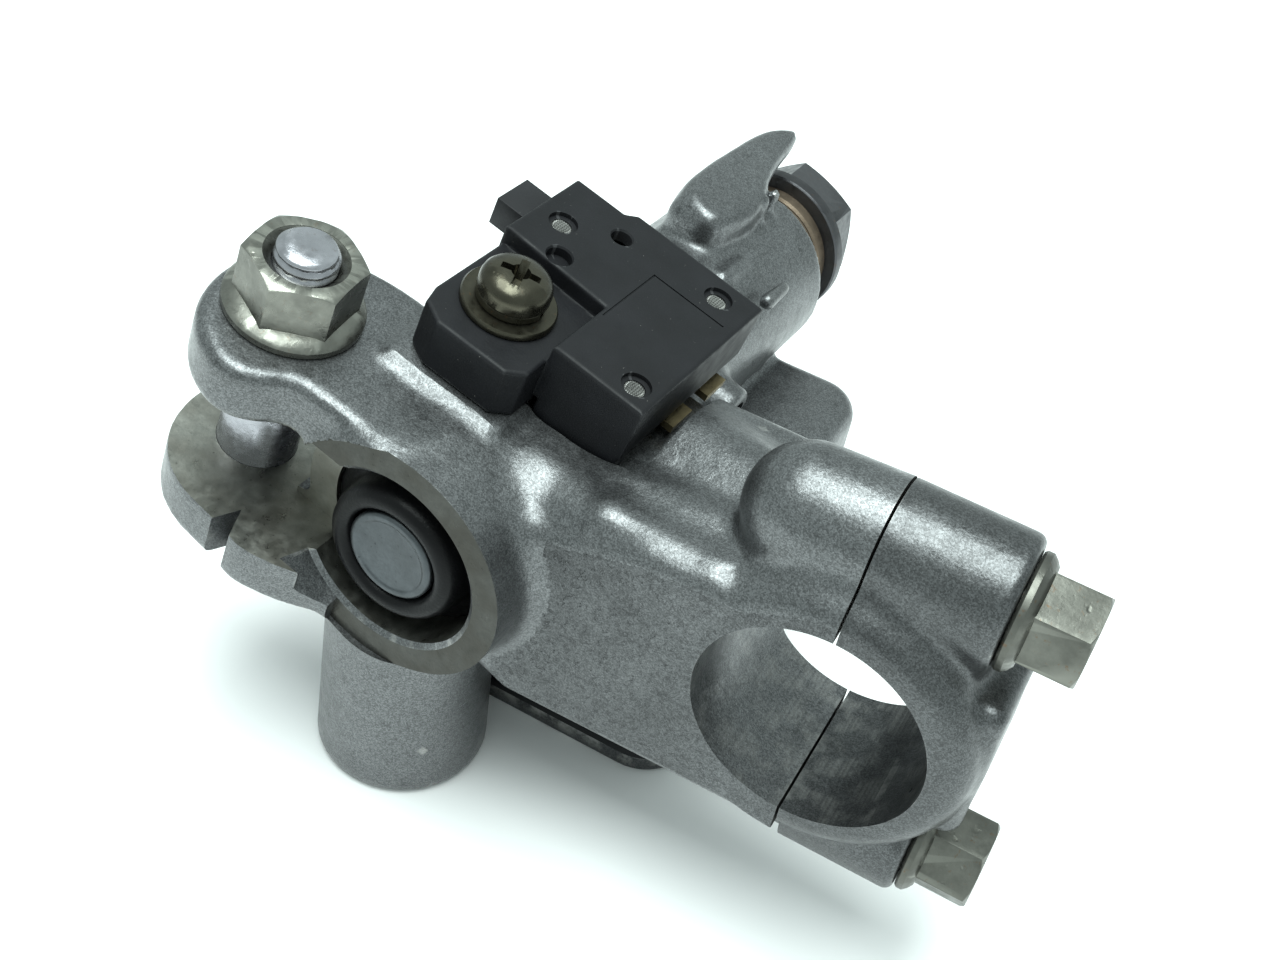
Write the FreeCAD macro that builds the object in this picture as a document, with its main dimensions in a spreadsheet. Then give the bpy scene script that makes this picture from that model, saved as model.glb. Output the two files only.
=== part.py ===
"""Motorcycle front brake master cylinder with an integral reservoir, in millimetres.

It is stored lying on its reservoir cover, so +Z points away from the cover.
The origin is the centre of the handlebar clamp's bore, on the clamp's open side.
+X runs along the handlebar and +Y points from the handlebar to the lever's pivot.

The lever's side of the casting is tilted from the reservoir's plane, so its sub-parts
are laid out in a "head" frame of their own: x along the cylinder from its open end,
y towards the lever's pivot and z along the pivot. HEAD places that frame.
"""
import math
import os
import re

import FreeCAD
import Part
from FreeCAD import Placement, Rotation, Vector

DIMS = {
    # head frame
    "head_x": -4.7, "head_y": 40.7, "head_z": 0.1, "lever_tilt": 13.2, "barrel_yaw": -4.2,
    # handlebar clamp
    "bar_r": 11.1, "clamp_w": 17.2, "clamp_r": 14.8, "clamp_gap": 0.5, "bolt_z": 15.6,
    "lug_r": 7.0, "seat_y": 12.0, "clamp_hole": 3.2, "web_low": 14.6, "web_high": 10.6,
    # cylinder
    "head_r": 12.65, "tail_r": 10.5, "barrel_len": 68.7, "head_len": 22.0, "taper_len": 9.0,
    "boot_r": 9.4, "boot_depth": 7.4, "ring_bore": 8.2, "bore_from": 12.4, "bore_r": 6.35,
    "bore_end": 60.0, "port_r": 4.98,
    # lever ears and pivot
    "pivot_x": 6.4, "pivot_y": 20.25, "ear_half": 10.5, "ear_reach": 27.8, "ear_top": 12.2,
    "slot_top": 6.6, "slot_low": -6.1, "ear_low": -11.6, "shank_r": 4.0, "thread_r": 3.0,
    # mirror boss
    "boss_x": 4.2, "boss_y": 42.7, "boss_r": 8.7, "boss_low": -33.8, "mirror_r": 5.0,
    # reservoir
    "tank_x": 14.4, "tank_y": 16.0, "tank_len": 46.8, "tank_w": 39.6, "tank_top": -9.0,
    "rim_z": -30.6, "wall": 3.0, "rim_out": 1.2, "cover_t": 2.4, "skin": 1.2, "screw_in": 3.9,
    # piston
    "piston_r": 6.31, "piston_at": 0.5, "stem_r": 4.7,
    # switch
    "sw_x": 14.6, "sw_len": 22.2, "sw_y": -11.3, "sw_w": 22.3, "sw_top": 20.5, "sw_mid": 13.9,
    "sw_low": 11.1, "screw_x": 17.2, "screw_y": 5.4, "ear_t": 18.6, "pad_top": 13.0,
}
V = DIMS

doc = FreeCAD.newDocument("brake_master_cylinder")
sheet = doc.addObject("Spreadsheet::Sheet", "dims")
for row, (alias, value) in enumerate(DIMS.items(), start=1):
    sheet.set("A%d" % row, alias)
    sheet.set("B%d" % row, str(value))
    sheet.setAlias("B%d" % row, alias)
doc.recompute()

HEAD = Placement(
    Vector(V["head_x"], V["head_y"], V["head_z"]),
    Rotation(Vector(1, 0, 0), V["lever_tilt"]) * Rotation(Vector(0, 0, 1), V["barrel_yaw"]),
)
# turns that lay a primitive's own Z along another axis
ALONG = {
    "x": Rotation(Vector(0, 1, 0), 90),
    "-x": Rotation(Vector(0, 1, 0), -90),
    "y": Rotation(Vector(1, 0, 0), -90),
    "-y": Rotation(Vector(1, 0, 0), 90),
    "z": Rotation(),
    "-z": Rotation(Vector(1, 0, 0), 180),
}
NODES = []


def expression(text):
    """The text with every driving dimension's name pointed at the spreadsheet."""
    return re.sub(r"[a-z]\w*", lambda m: "dims." + m.group() if m.group() in DIMS else m.group(), text)


def bind(obj, **sizes):
    """Set sizes: a number as it is, a text as an expression on the spreadsheet."""
    for prop, size in sizes.items():
        if isinstance(size, str):
            obj.setExpression(prop, expression(size))
        else:
            setattr(obj, prop, size)
    return obj


def put(obj, at, turn=None):
    """Place a primitive: each coordinate is a number or an expression."""
    obj.Placement = Placement(Vector(0, 0, 0), turn or Rotation())
    for axis, where in zip("xyz", at):
        obj.setExpression("Placement.Base." + axis, expression(str(where)))
    return obj


def cylinder(name, radius, length, at=(0, 0, 0), along="x"):
    obj = bind(doc.addObject("Part::Cylinder", name), Radius=radius, Height=length)
    return put(obj, at, ALONG[along])


def cone(name, radius_1, radius_2, length, at=(0, 0, 0), along="x"):
    obj = bind(doc.addObject("Part::Cone", name), Radius1=radius_1, Radius2=radius_2, Height=length)
    return put(obj, at, ALONG[along])


def ball(name, radius, at):
    return put(bind(doc.addObject("Part::Sphere", name), Radius=radius), at)


def block(name, size, at):
    obj = bind(doc.addObject("Part::Box", name), Length=size[0], Width=size[1], Height=size[2])
    return put(obj, at)


def hexagon(name, across_flats, height, at, along="z"):
    """A six-sided prism by its size across flats."""
    obj = bind(doc.addObject("Part::Prism", name), Circumradius=across_flats / math.sqrt(3), Height=height)
    obj.Polygon = 6
    return put(obj, at, ALONG[along])


def torus(name, ring_r, wire_r, at, along="x"):
    obj = bind(doc.addObject("Part::Torus", name), Radius1=ring_r, Radius2=wire_r)
    return put(obj, at, ALONG[along])


def fuse(name, shapes):
    """Join solids one after another, which keeps tangent faces sound."""
    joined = shapes[0]
    for number, shape in enumerate(shapes[1:], start=1):
        step = doc.addObject("Part::Fuse", name if number == len(shapes) - 1 else "%s_%d" % (name, number))
        step.Base = joined
        step.Tool = shape
        step.Refine = True
        joined = step
    return joined


def group(name, shapes):
    """Separate solids of one node, side by side."""
    obj = doc.addObject("Part::Compound", name)
    obj.Links = shapes
    return obj


def cut(name, base, tools):
    obj = doc.addObject("Part::Cut", name)
    obj.Base = base
    obj.Tool = tools[0] if len(tools) == 1 else fuse(name + "_tools", tools)
    obj.Refine = True
    return obj


def common(name, base, tool):
    obj = doc.addObject("Part::Common", name)
    obj.Base = base
    obj.Tool = tool
    return obj


def tube(name, outer, inner, length, at, along="x"):
    rod = cylinder(name + "_rod", outer, length, at, along)
    hole = cylinder(name + "_hole", inner, length, at, along)
    return cut(name, rod, [hole])


def rounded(name, base, radius, chosen):
    """Fillet the edges whose middle point passes the test."""
    doc.recompute()
    obj = doc.addObject("Part::Fillet", name)
    obj.Base = base
    picks = []
    for number, edge in enumerate(base.Shape.Edges, start=1):
        middle = edge.valueAt((edge.FirstParameter + edge.LastParameter) / 2)
        if chosen(middle, edge):
            picks.append((number, radius, radius))
    obj.Edges = picks
    base.Visibility = False
    return obj


def coil(name, radius, wire_r, pitch, height, at, along="x"):
    """A round-wire compression spring."""
    path = doc.addObject("Part::Helix", name + "_path")
    bind(path, Radius=radius, Pitch=pitch, Height=height)
    section = doc.addObject("Part::Circle", name + "_section")
    bind(section, Radius=wire_r)
    section.Placement = Placement(Vector(radius, 0, 0), Rotation(Vector(1, 0, 0), 90))
    sweep = doc.addObject("Part::Sweep", name)
    sweep.Sections = [section]
    sweep.Spine = (path, ["Edge1"])
    sweep.Solid = True
    sweep.Frenet = True
    return put(sweep, at, ALONG[along])


def in_head(obj):
    """Carry a shape that was laid out in the head frame to its place."""
    if obj.ExpressionEngine:
        obj = group(obj.Name + "_in_head", [obj])
    obj.Placement = HEAD.multiply(obj.Placement)
    return obj


def node(name, obj):
    """Name a finished sub-part."""
    obj.Label = name
    NODES.append((name, obj))
    return obj


def upright(middle, edge):
    """Edges that run along Z."""
    ends = edge.Vertexes
    return len(ends) == 2 and abs(ends[0].Z - ends[1].Z) > 0.5 and abs(ends[0].X - ends[1].X) < 1e-6 \
        and abs(ends[0].Y - ends[1].Y) < 1e-6


# ---------------------------------------------------------------- cast body
def ear(name, low, top):
    """One lever ear: a plate with a round nose."""
    plate = block(name + "_plate", ("2 * ear_half", "ear_reach - 2", top + " - " + low),
                  ("pivot_x - ear_half", 2, low))
    nose = V["ear_reach"] - 1
    return rounded(name, plate, 7.6, lambda p, e: upright(p, e) and p.y > nose)


def prong():
    """The stop that keeps the hose's end from turning: a finger past the outlet."""
    root = block("prong_root", (12.0, 4.6, 6.0), (53.4, 3.2, 8.2))
    finger = block("prong_finger", (15.6, 3.4, 3.4), (62.0, 3.8, 10.9))
    return [root, finger]


def head_bored():
    """The casting around the cylinder, in the head frame, bored and milled."""
    barrel = fuse("barrel", [
        cylinder("head_barrel", "head_r", "head_len"),
        cone("barrel_taper", "head_r", "tail_r", "taper_len", ("head_len", 0, 0)),
        cylinder("tail_barrel", "tail_r", "barrel_len - head_len - taper_len - 1.2",
                 ("head_len + taper_len", 0, 0)),
        cone("tail_rim", "tail_r", "tail_r - 0.9", 1.2, ("barrel_len - 1.2", 0, 0)),
        cylinder("outlet_seat", 8.4, 1.6, ("barrel_len", 0, 0)),
    ])
    ears = fuse("ears", [barrel, ear("upper_ear", "slot_top", "ear_top"), ear("lower_ear", "ear_low", "slot_low")])
    solid = fuse("head_solid", [
        ears,
        block("switch_pad", (11.0, 11.5, "pad_top - 5"), (9.8, -0.8, 5)),
        cylinder("side_boss", 3.0, 9.0, (42.0, -13.0, 2.5), "y"),
    ] + prong())
    hollows = [
        cylinder("boot_recess", "boot_r", "boot_depth + 1", (-1, 0, 0)),
        cylinder("ring_bore_hole", "ring_bore", "bore_from", (0, 0, 0)),
        cylinder("circlip_groove", "ring_bore + 0.7", 1.3, (9.2, 0, 0)),
        cylinder("main_bore", "bore_r", "bore_end", (0, 0, 0)),
        cone("bore_bottom", "bore_r", "port_r", 1.4, ("bore_end", 0, 0)),
        cylinder("outlet_hole", "port_r", 12.0, ("bore_end", 0, 0)),
        cylinder("lower_pivot_hole", "shank_r + 0.04", 9.0, ("pivot_x", "pivot_y", -13), "z"),
        cylinder("upper_pivot_hole", "thread_r + 0.1", 9.0, ("pivot_x", "pivot_y", 5), "z"),
        cylinder("switch_screw_hole", 1.72, 8.0, ("screw_x", "screw_y", 6.2), "z"),
        cylinder("side_hole", 2.0, 4.0, (42.0, -13.5, 2.5), "y"),
        block("ear_relief", (4.2, 16.0, 6.2), (-4.3, -2.0, "slot_top - 0.1")),
        block("slot_mouth", (5.4, 11.0, "slot_top - slot_low"), (-1, 3.2, "slot_low")),
        cone("ear_notch", 2.6, 0.05, 7.4, ("pivot_x - ear_half - 0.8", 14.2, -12.4), "z"),
    ] + switch_flats("head") + fluid_ports("head")
    return cut("head_bored", solid, hollows)


def switch_flats(name):
    """The milled seat under the switch."""
    return [block(name + "_switch_flat", (25.0, 12.0, 12.0), (14.2, -13.0, "sw_low - 0.2")),
            block(name + "_switch_flat_far", (18.0, 14.0, 12.0), (21.0, -1.2, "sw_low - 0.2"))]


def fluid_ports(name):
    """The large inlet port and the fine relief port, from the reservoir to the bore."""
    return [cylinder(name + "_inlet", 1.5, 9.0, (20.5, 0, -14.5), "z"),
            cylinder(name + "_relief", 0.6, 9.0, (43.5, 0, -14.5), "z")]


def head_clearance():
    """What the web and the reservoir must leave to the cylinder."""
    return fuse("head_clearance", [
        cylinder("clear_head", "head_r - 1.5", "head_len", (-6, 0, 0)),
        cylinder("clear_tail", "tail_r - 1.2", "barrel_len", (-6, 0, 0)),
        block("clear_ear", (14.5, 15.0, 12.0), (9.4, -2.2, "pad_top")),
    ] + switch_flats("clear") + fluid_ports("clear"))


def reservoir_shell():
    """The reservoir's outside, without its hollow."""
    box = block("tank_box", ("tank_len", "tank_w", "tank_top - rim_z"), ("tank_x", "tank_y", "rim_z"))
    walls = rounded("tank_walls", box, 4.8, upright)
    top = V["tank_top"]
    soft = rounded("tank", walls, 2.6, lambda p, e: abs(p.z - top) < 1e-3)
    lip = block("rim_plate", ("tank_len + 2 * rim_out", "tank_w + 2 * rim_out", 2.0),
                ("tank_x - rim_out", "tank_y - rim_out", "rim_z"))
    rim = rounded("rim", lip, 5.8, upright)
    return fuse("reservoir", [soft, rim])


def clamp_half():
    """The web from the cylinder to the handlebar, with the body's half of the clamp."""
    solids = [
        block("web", ("clamp_w", 31.0, "web_low + web_high"), (0, "clamp_gap / 2", "-web_low")),
        common("half_ring",
               cylinder("clamp_ring", "clamp_r", "clamp_w", (0, 0, 0)),
               block("half_space", ("clamp_w", 16.0, 40.0), (0, "clamp_gap / 2", -20))),
        common("arm",
               cylinder("arm_round", 13.2, 20.0, (11.8, 12.0, 0.6), "y"),
               block("arm_space", (26.0, 25.0, 14.0), (0, 12.0, 0.6))),
        cylinder("top_lug", "lug_r", 11.0, ("clamp_w / 2", "clamp_gap / 2", "bolt_z"), "y"),
        ball("top_lug_end", "lug_r - 0.4", ("clamp_w / 2", "clamp_gap / 2 + 11", "bolt_z")),
        cylinder("low_lug", "lug_r", 9.0, ("clamp_w / 2", "clamp_gap / 2", "-bolt_z"), "y"),
    ]
    return fuse("clamp_half", solids)


def bolt_row(name, radius, start, length, along="y"):
    """The same cylinder at both clamp bolts."""
    return [cylinder("%s_%s" % (name, where), radius, length, ("clamp_w / 2", start, z), along)
            for where, z in (("top", "bolt_z"), ("low", "-bolt_z"))]


def cylinder_body():
    boss = cylinder("mirror_boss", "boss_r", "-8 - boss_low", ("boss_x", "boss_y", "boss_low"), "z")
    low_side = cut("low_side", fuse("low_side_solid", [clamp_half(), reservoir_shell(), boss]),
                   [in_head(head_clearance())])
    hollow = block("tank_hollow", ("tank_len - 2 * wall", "tank_w - 2 * wall", "tank_top - rim_z - wall + 1"),
                   ("tank_x + wall", "tank_y + wall", "rim_z - 1"))
    hollow_round = rounded("tank_hollow_round", hollow, 7.5, upright)
    bores = [
        cylinder("bar_bore", "bar_r", 40.0, (-5, 0, 0)),
        cut("tank_cavity", hollow_round, [in_head(cylinder("barrel_wall", "tail_r", 70.0))]),
        cylinder("mirror_hole", "mirror_r", 19.0, ("boss_x", "boss_y", "boss_low - 1"), "z"),
    ] + bolt_row("clamp_tap", 3.0, 0, 13.0) + cover_screw_set("cover_tap", 1.6, "rim_z - 1", 7.0)
    return cut("cylinder_body", fuse("casting", [in_head(head_bored()), low_side]), bores)


def cover_screw_set(name, radius, start, length, along="z"):
    """The same cylinder at both cover screws, in opposite corners."""
    corners = (("near", "tank_x + screw_in", "tank_y + screw_in"),
               ("far", "tank_x + tank_len - screw_in", "tank_y + tank_w - screw_in"))
    return [cylinder("%s_%s" % (name, where), radius, length, (x, y, start), along) for where, x, y in corners]


def clamp_cap():
    ring = common("cap_ring",
                  cylinder("cap_round", "clamp_r", "clamp_w", (0, 0, 0)),
                  block("cap_space", ("clamp_w", 16.0, 40.0), (0, "-16 - clamp_gap / 2", -20)))
    lugs = bolt_row("cap_lug", "lug_r", "-seat_y", "seat_y - clamp_gap / 2")
    back = block("cap_back", ("clamp_w - 3", 3.4, 19.6), (1.5, "-seat_y - 0.6", -9.8))
    solid = fuse("cap_solid", [ring, back] + lugs)
    bores = [cylinder("cap_bore", "bar_r", 40.0, (-5, 0, 0))] + bolt_row("cap_hole", "clamp_hole", -20, 20.0)
    return cut("clamp_cap", solid, bores)


# ---------------------------------------------------------------- fasteners
def flanged_bolt(name, z):
    """Hexagon flange bolt, pointing along +Y from the cap's seat."""
    at = "clamp_w / 2"
    parts = [
        cylinder(name + "_flange", 5.4, 1.3, (at, "-seat_y - 1.3", z), "y"),
        hexagon(name + "_hex", 8.0, 5.4, (at, "-seat_y - 1.2", z), "-y"),
        cylinder(name + "_shank", 2.95, 23.0, (at, "-seat_y - 0.2", z), "y"),
    ]
    return fuse(name, parts)


def clamp_bolts():
    return group("clamp_bolts", [flanged_bolt("bolt_top", "bolt_z"), flanged_bolt("bolt_low", "-bolt_z")])


def lever_pivot_bolt():
    """Shouldered pivot: head under the lower ear, thread through the upper ear."""
    at = ("pivot_x", "pivot_y")
    head = cylinder("pivot_head", 6.4, 3.6, at + ("ear_low - 3.6",), "z")
    slot = block("pivot_slot", (14.0, 1.4, 1.4), ("pivot_x - 7", "pivot_y - 0.7", "ear_low - 3.7"))
    parts = [
        cut("pivot_head_slotted", head, [slot]),
        cylinder("pivot_shank", "shank_r", "slot_top - ear_low", at + ("ear_low",), "z"),
        cylinder("pivot_thread", "thread_r", 12.6, at + ("slot_top",), "z"),
        cone("pivot_tip", "thread_r", 2.3, 0.7, at + ("slot_top + 12.6",), "z"),
    ]
    return fuse("lever_pivot_bolt", parts)


def pivot_nut():
    at = ("pivot_x", "pivot_y")
    parts = [
        cone("nut_flange", 6.6, 6.3, 1.3, at + ("ear_top",), "z"),
        hexagon("nut_hex", 10.0, 5.8, at + ("ear_top + 0.6",)),
    ]
    return cut("pivot_nut", fuse("nut_blank", parts),
               [cylinder("nut_hole", "thread_r + 0.02", 9.0, at + ("ear_top - 1",), "z")])


def cover_screws():
    """Countersunk screws, heads down in the cover."""
    screws = []
    for number, (x, y) in enumerate((("tank_x + screw_in", "tank_y + screw_in"),
                                     ("tank_x + tank_len - screw_in", "tank_y + tank_w - screw_in"))):
        name = "cover_screw_%d" % number
        head = cone(name + "_head", 3.4, 1.5, 1.9, (x, y, "rim_z - skin - cover_t + 0.1"), "z")
        shank = cylinder(name + "_shank", 1.55, 8.0, (x, y, "rim_z - skin - cover_t + 1.0"), "z")
        cross = [block(name + "_cross_a", (3.4, 0.7, 0.9), (x + " - 1.7", y + " - 0.35", "rim_z - skin - cover_t")),
                 block(name + "_cross_b", (0.7, 3.4, 0.9), (x + " - 0.35", y + " - 1.7", "rim_z - skin - cover_t"))]
        screws.append(cut(name, fuse(name + "_solid", [head, shank]), cross))
    return group("cover_screws", screws)


# ---------------------------------------------------------------- reservoir lid
def lid_plate(name, low, thick):
    """A plate with the rim's outline."""
    plate = block(name + "_blank", ("tank_len + 2 * rim_out", "tank_w + 2 * rim_out", thick),
                  ("tank_x - rim_out", "tank_y - rim_out", low))
    return rounded(name + "_outline", plate, 5.8, upright)


def reservoir_cover():
    plate = lid_plate("cover", "rim_z - skin - cover_t", "cover_t")
    base = V["rim_z"] - V["skin"] - V["cover_t"]
    soft = rounded("cover_soft", plate, 0.9, lambda p, e: abs(p.z - base) < 1e-3)
    holes = []
    for number, (x, y) in enumerate((("tank_x + screw_in", "tank_y + screw_in"),
                                     ("tank_x + tank_len - screw_in", "tank_y + tank_w - screw_in"))):
        holes.append(cone("cover_sink_%d" % number, 3.55, 1.62, 2.0, (x, y, "rim_z - skin - cover_t"), "z"))
        holes.append(cylinder("cover_hole_%d" % number, 1.7, 4.0, (x, y, "rim_z - skin - cover_t"), "z"))
    return cut("reservoir_cover", soft, holes)


def reservoir_diaphragm():
    """Rubber seal under the cover, with a shallow bellows pocket in the fluid."""
    plate = lid_plate("seal", "rim_z - skin", "skin")
    pocket = block("seal_pocket", ("tank_len - 2 * wall - 2", "tank_w - 2 * wall - 2", 4.4),
                   ("tank_x + wall + 1", "tank_y + wall + 1", "rim_z - 0.4"))
    pocket_round = rounded("seal_pocket_round", pocket, 6.5, upright)
    inside = block("seal_inside", ("tank_len - 2 * wall - 4.4", "tank_w - 2 * wall - 4.4", 4.6),
                   ("tank_x + wall + 2.2", "tank_y + wall + 2.2", "rim_z - skin - 0.2"))
    inside_round = rounded("seal_inside_round", inside, 5.3, upright)
    return cut("reservoir_diaphragm", fuse("seal_solid", [plate, pocket_round]),
               [inside_round] + cover_screw_set("seal_hole", 1.75, "rim_z - 3", 6.0))


def diaphragm_plate():
    """Stiff plate that spreads the cover's load over the seal's pocket."""
    return rounded("diaphragm_plate",
                   block("spread_blank", ("tank_len - 2 * wall - 6", "tank_w - 2 * wall - 6", 1.0),
                         ("tank_x + wall + 3", "tank_y + wall + 3", "rim_z - skin + 0.1")), 4.5, upright)


def port_baffle():
    """Splash plate over the two fluid ports."""
    return block("port_baffle", (34.0, 9.0, 0.8), ("tank_x + 6.0", "tank_y + tank_w / 2 - 4.0", "-15.2"))


# ---------------------------------------------------------------- cylinder internals
def piston():
    """Two lands, a waist between them and a stem that the lever pushes."""
    start = "piston_at"
    parts = [
        cone("stem_chamfer", "stem_r - 0.5", "stem_r", 0.5, (start, 0, 0)),
        cylinder("stem", "stem_r", 12.2, (start + " + 0.5", 0, 0)),
        cylinder("rear_land", "piston_r", 4.0, (12.8, 0, 0)),
        cylinder("waist", 3.6, 22.0, (16.0, 0, 0)),
        cylinder("mid_land", "piston_r", 1.6, (20.4, 0, 0)),
        cylinder("front_land", "piston_r", 3.0, (34.6, 0, 0)),
        cylinder("cup_spigot", 2.6, 6.0, (37.0, 0, 0)),
        cylinder("spring_seat", 3.2, 1.0, (41.8, 0, 0)),
        cylinder("spring_nose", 2.2, 3.0, (42.0, 0, 0)),
    ]
    groove = torus("boot_groove", "stem_r + 0.25", 0.7, (4.2, 0, 0))
    return cut("piston", fuse("piston_solid", parts), [groove])


def cup(name, start, inner):
    """A lipped rubber cup seal that opens towards the outlet."""
    body = cylinder(name + "_body", "bore_r - 0.05", 3.4, (start, 0, 0))
    hole = cylinder(name + "_bore", inner, 3.4, (start, 0, 0))
    lip = cone(name + "_lip", inner + 0.3, "bore_r - 0.7", 1.9, (start + 1.6, 0, 0))
    return cut(name, body, [hole, lip])


def dust_boot():
    """Rubber boot: a bead in the recess, one fold and a lip on the piston's stem."""
    bead = tube("boot_bead", "boot_r - 0.1", 7.4, 2.2, (4.6, 0, 0))
    wall = tube("boot_wall", 8.2, 7.2, 4.6, (1.4, 0, 0))
    roll = torus("boot_roll", 7.2, 1.0, (1.9, 0, 0))
    web = tube("boot_web", 7.4, "stem_r + 0.15", 1.1, (1.5, 0, 0))
    lip = tube("boot_lip", 6.0, "stem_r + 0.15", 2.2, (1.2, 0, 0))
    return fuse("dust_boot", [bead, wall, roll, web, lip])


def retaining_circlip():
    """Open ring in its groove."""
    ring = tube("circlip_ring", "ring_bore + 0.6", 6.7, 1.1, (9.3, 0, 0))
    return cut("retaining_circlip", ring, [block("circlip_gap", (3.0, 5.0, 6.0), (8.6, -2.5, -10.0))])


def banjo_bolt():
    """Hollow hose bolt, closed onto its two washers."""
    seat = "barrel_len + 1.6"
    parts = [
        cylinder("banjo_flange", 9.3, 1.9, (seat + " + 4.4", 0, 0)),
        cone("banjo_skirt", 9.3, 8.0, 0.9, (seat + " + 6.3", 0, 0)),
        hexagon("banjo_hex", 14.0, 6.2, (seat + " + 6.6", 0, 0), "x"),
        cylinder("banjo_shank", 4.9, 13.0, (seat + " - 8.4", 0, 0)),
    ]
    ways = [cylinder("banjo_way", 1.6, 11.0, (seat + " - 8.6", 0, 0)),
            cylinder("banjo_cross", 1.1, 12.0, (seat + " + 2.2", -6, 0), "y")]
    return cut("banjo_bolt", fuse("banjo_solid", parts), ways)


# ---------------------------------------------------------------- brake light switch
def switch_housing():
    """Upper shell with the mounting ear and the plunger's slot."""
    shell = block("sw_shell", ("sw_len", "sw_w", "sw_top - sw_mid"), ("sw_x", "sw_y", "sw_mid"))
    corner = block("sw_corner", (8.6, 13.0, 10.0), ("sw_x - 0.1", -1.2, "sw_mid - 1"))
    main = cut("sw_main", shell, [corner])
    ear_pad = block("sw_ear_pad", (12.4, 12.2, "ear_t - pad_top"), (10.2, -1.2, "pad_top"))
    nose = rounded("sw_ear", ear_pad, 4.6, lambda p, e: upright(p, e) and p.x < 12)
    skirt = block("sw_skirt", (1.4, 9.6, "sw_mid - sw_low"), ("sw_x", "sw_y", "sw_low"))
    solid = fuse("sw_solid", [main, nose, skirt])
    hollows = [
        block("sw_hollow", (11.2, 18.6, "sw_top - sw_mid - 1.4"), (23.8, -9.6, "sw_mid - 0.1")),
        block("sw_slot", (5.4, 4.0, 4.0), (28.2, 8.6, 15.2)),
        cylinder("sw_screw_way", 2.2, 12.0, ("screw_x", "screw_y", 10), "z"),
    ]
    for number, (x, y) in enumerate(((29.1, 8.2), (34.1, -7.6), (17.2, -8.9))):
        hollows.append(cylinder("sw_pin_way_%d" % number, 1.05, 6.0, (x, y, "sw_top - 1.7"), "z"))
    hollows.append(cylinder("sw_vent", 1.1, 0.9, (32.7, 3.4, "sw_top - 0.8"), "z"))
    return cut("switch_housing", solid, hollows)


def switch_base():
    """Lower shell that closes the housing and carries the terminals."""
    plate = block("base_plate", (19.6, 20.6, "sw_mid - sw_low - 0.4"), (16.4, -10.5, "sw_low + 0.2"))
    clear = block("base_corner", (8.2, 14.0, 4.0), (14.6, -1.6, "sw_low - 0.2"))
    slots = []
    for n, x in enumerate((23.8, 30.4)):
        slots.append(block("base_slot_%d" % n, (4.0, 16.0, 1.0), (x, -12.0, 11.9)))
        slots.append(block("base_slit_%d" % n, (4.0, 0.9, 3.0), (x, 2.35, 11.9)))
    return cut("switch_base", plate, [clear] + slots)


def switch_plunger():
    """Button that the lever holds in, on a stem inside the switch."""
    return fuse("switch_plunger", [
        block("button", (5.0, 3.8, 3.2), (28.4, 11.4, 15.4)),
        block("button_stem", (1.8, 9.4, 2.9), (28.3, 2.42, 15.5)),
    ])


def switch_contact():
    """Bridge that the plunger's end carries onto the terminals."""
    return block("switch_contact", (9.0, 0.5, 2.6), (24.6, 1.9, 15.6))


def switch_terminals():
    """Two brass blades, each with a foot inside the switch."""
    blades = []
    for number, x in enumerate((24.0, 30.6)):
        name = "terminal_%d" % number
        blades.append(fuse(name, [block(name + "_blade", (3.6, 15.3, 0.8), (x, -12.2, 12.0)),
                                  block(name + "_post", (3.6, 0.6, 5.6), (x, 2.5, 12.0))]))
    return group("switch_terminals", blades)


def switch_pins():
    places = ((29.1, 8.2), (34.1, -7.6), (17.2, -8.9))
    return group("switch_pins", [cylinder("switch_pin_%d" % n, 1.0, 1.3, (x, y, "sw_top - 1.7"), "z")
                                 for n, (x, y) in enumerate(places)])


def switch_screw():
    """Pan-head cross-recess screw."""
    at = ("screw_x", "screw_y")
    head = rounded("pan_head", cylinder("pan_blank", 3.5, 2.5, at + ("ear_t + 1.75",), "z"), 1.2,
                   lambda p, e: p.z > V["ear_t"] + 4)
    shank = cylinder("screw_shank", 1.68, 12.4, at + ("ear_t - 10.6",), "z")
    cross = [block("cross_a", (3.8, 0.8, 1.6), ("screw_x - 1.9", "screw_y - 0.4", "ear_t + 3.0")),
             block("cross_b", (0.8, 3.8, 1.6), ("screw_x - 0.4", "screw_y - 1.9", "ear_t + 3.0"))]
    return cut("switch_screw", fuse("screw_solid", [head, shank]), cross)


def switch_screw_washers():
    """Flat washer with a spring washer on it."""
    at = ("screw_x", "screw_y")
    flat = tube("flat_washer", 4.65, 1.8, 0.8, at + ("ear_t",), "z")
    ring = tube("spring_ring", 3.3, 1.8, 0.9, at + ("ear_t + 0.82",), "z")
    split = cut("spring_washer", ring, [block("washer_split", (0.5, 4.0, 2.0), ("screw_x", "screw_y - 4.5", "ear_t + 0.6"))])
    return group("switch_screw_washers", [flat, split])


# ---------------------------------------------------------------- the assembly
node("cylinder_body", cylinder_body())
node("clamp_cap", clamp_cap())
node("clamp_bolts", clamp_bolts())
node("lever_pivot_bolt", in_head(lever_pivot_bolt()))
node("pivot_nut", in_head(pivot_nut()))
node("reservoir_diaphragm", reservoir_diaphragm())
node("diaphragm_plate", diaphragm_plate())
node("reservoir_cover", reservoir_cover())
node("cover_screws", cover_screws())
node("port_baffle", port_baffle())
node("piston", in_head(piston()))
node("primary_cup", in_head(cup("primary_cup", 38.0, 2.65)))
node("secondary_cup", in_head(cup("secondary_cup", 16.9, 3.65)))
node("return_spring", in_head(coil("return_spring", 4.4, 0.45, 3.9, 15.6, (43.4, 0, 0))))
node("dust_boot", in_head(dust_boot()))
node("piston_stop_washer", in_head(tube("piston_stop_washer", "ring_bore - 0.1", 4.9, 1.2, (10.9, 0, 0))))
node("retaining_circlip", in_head(retaining_circlip()))
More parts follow.
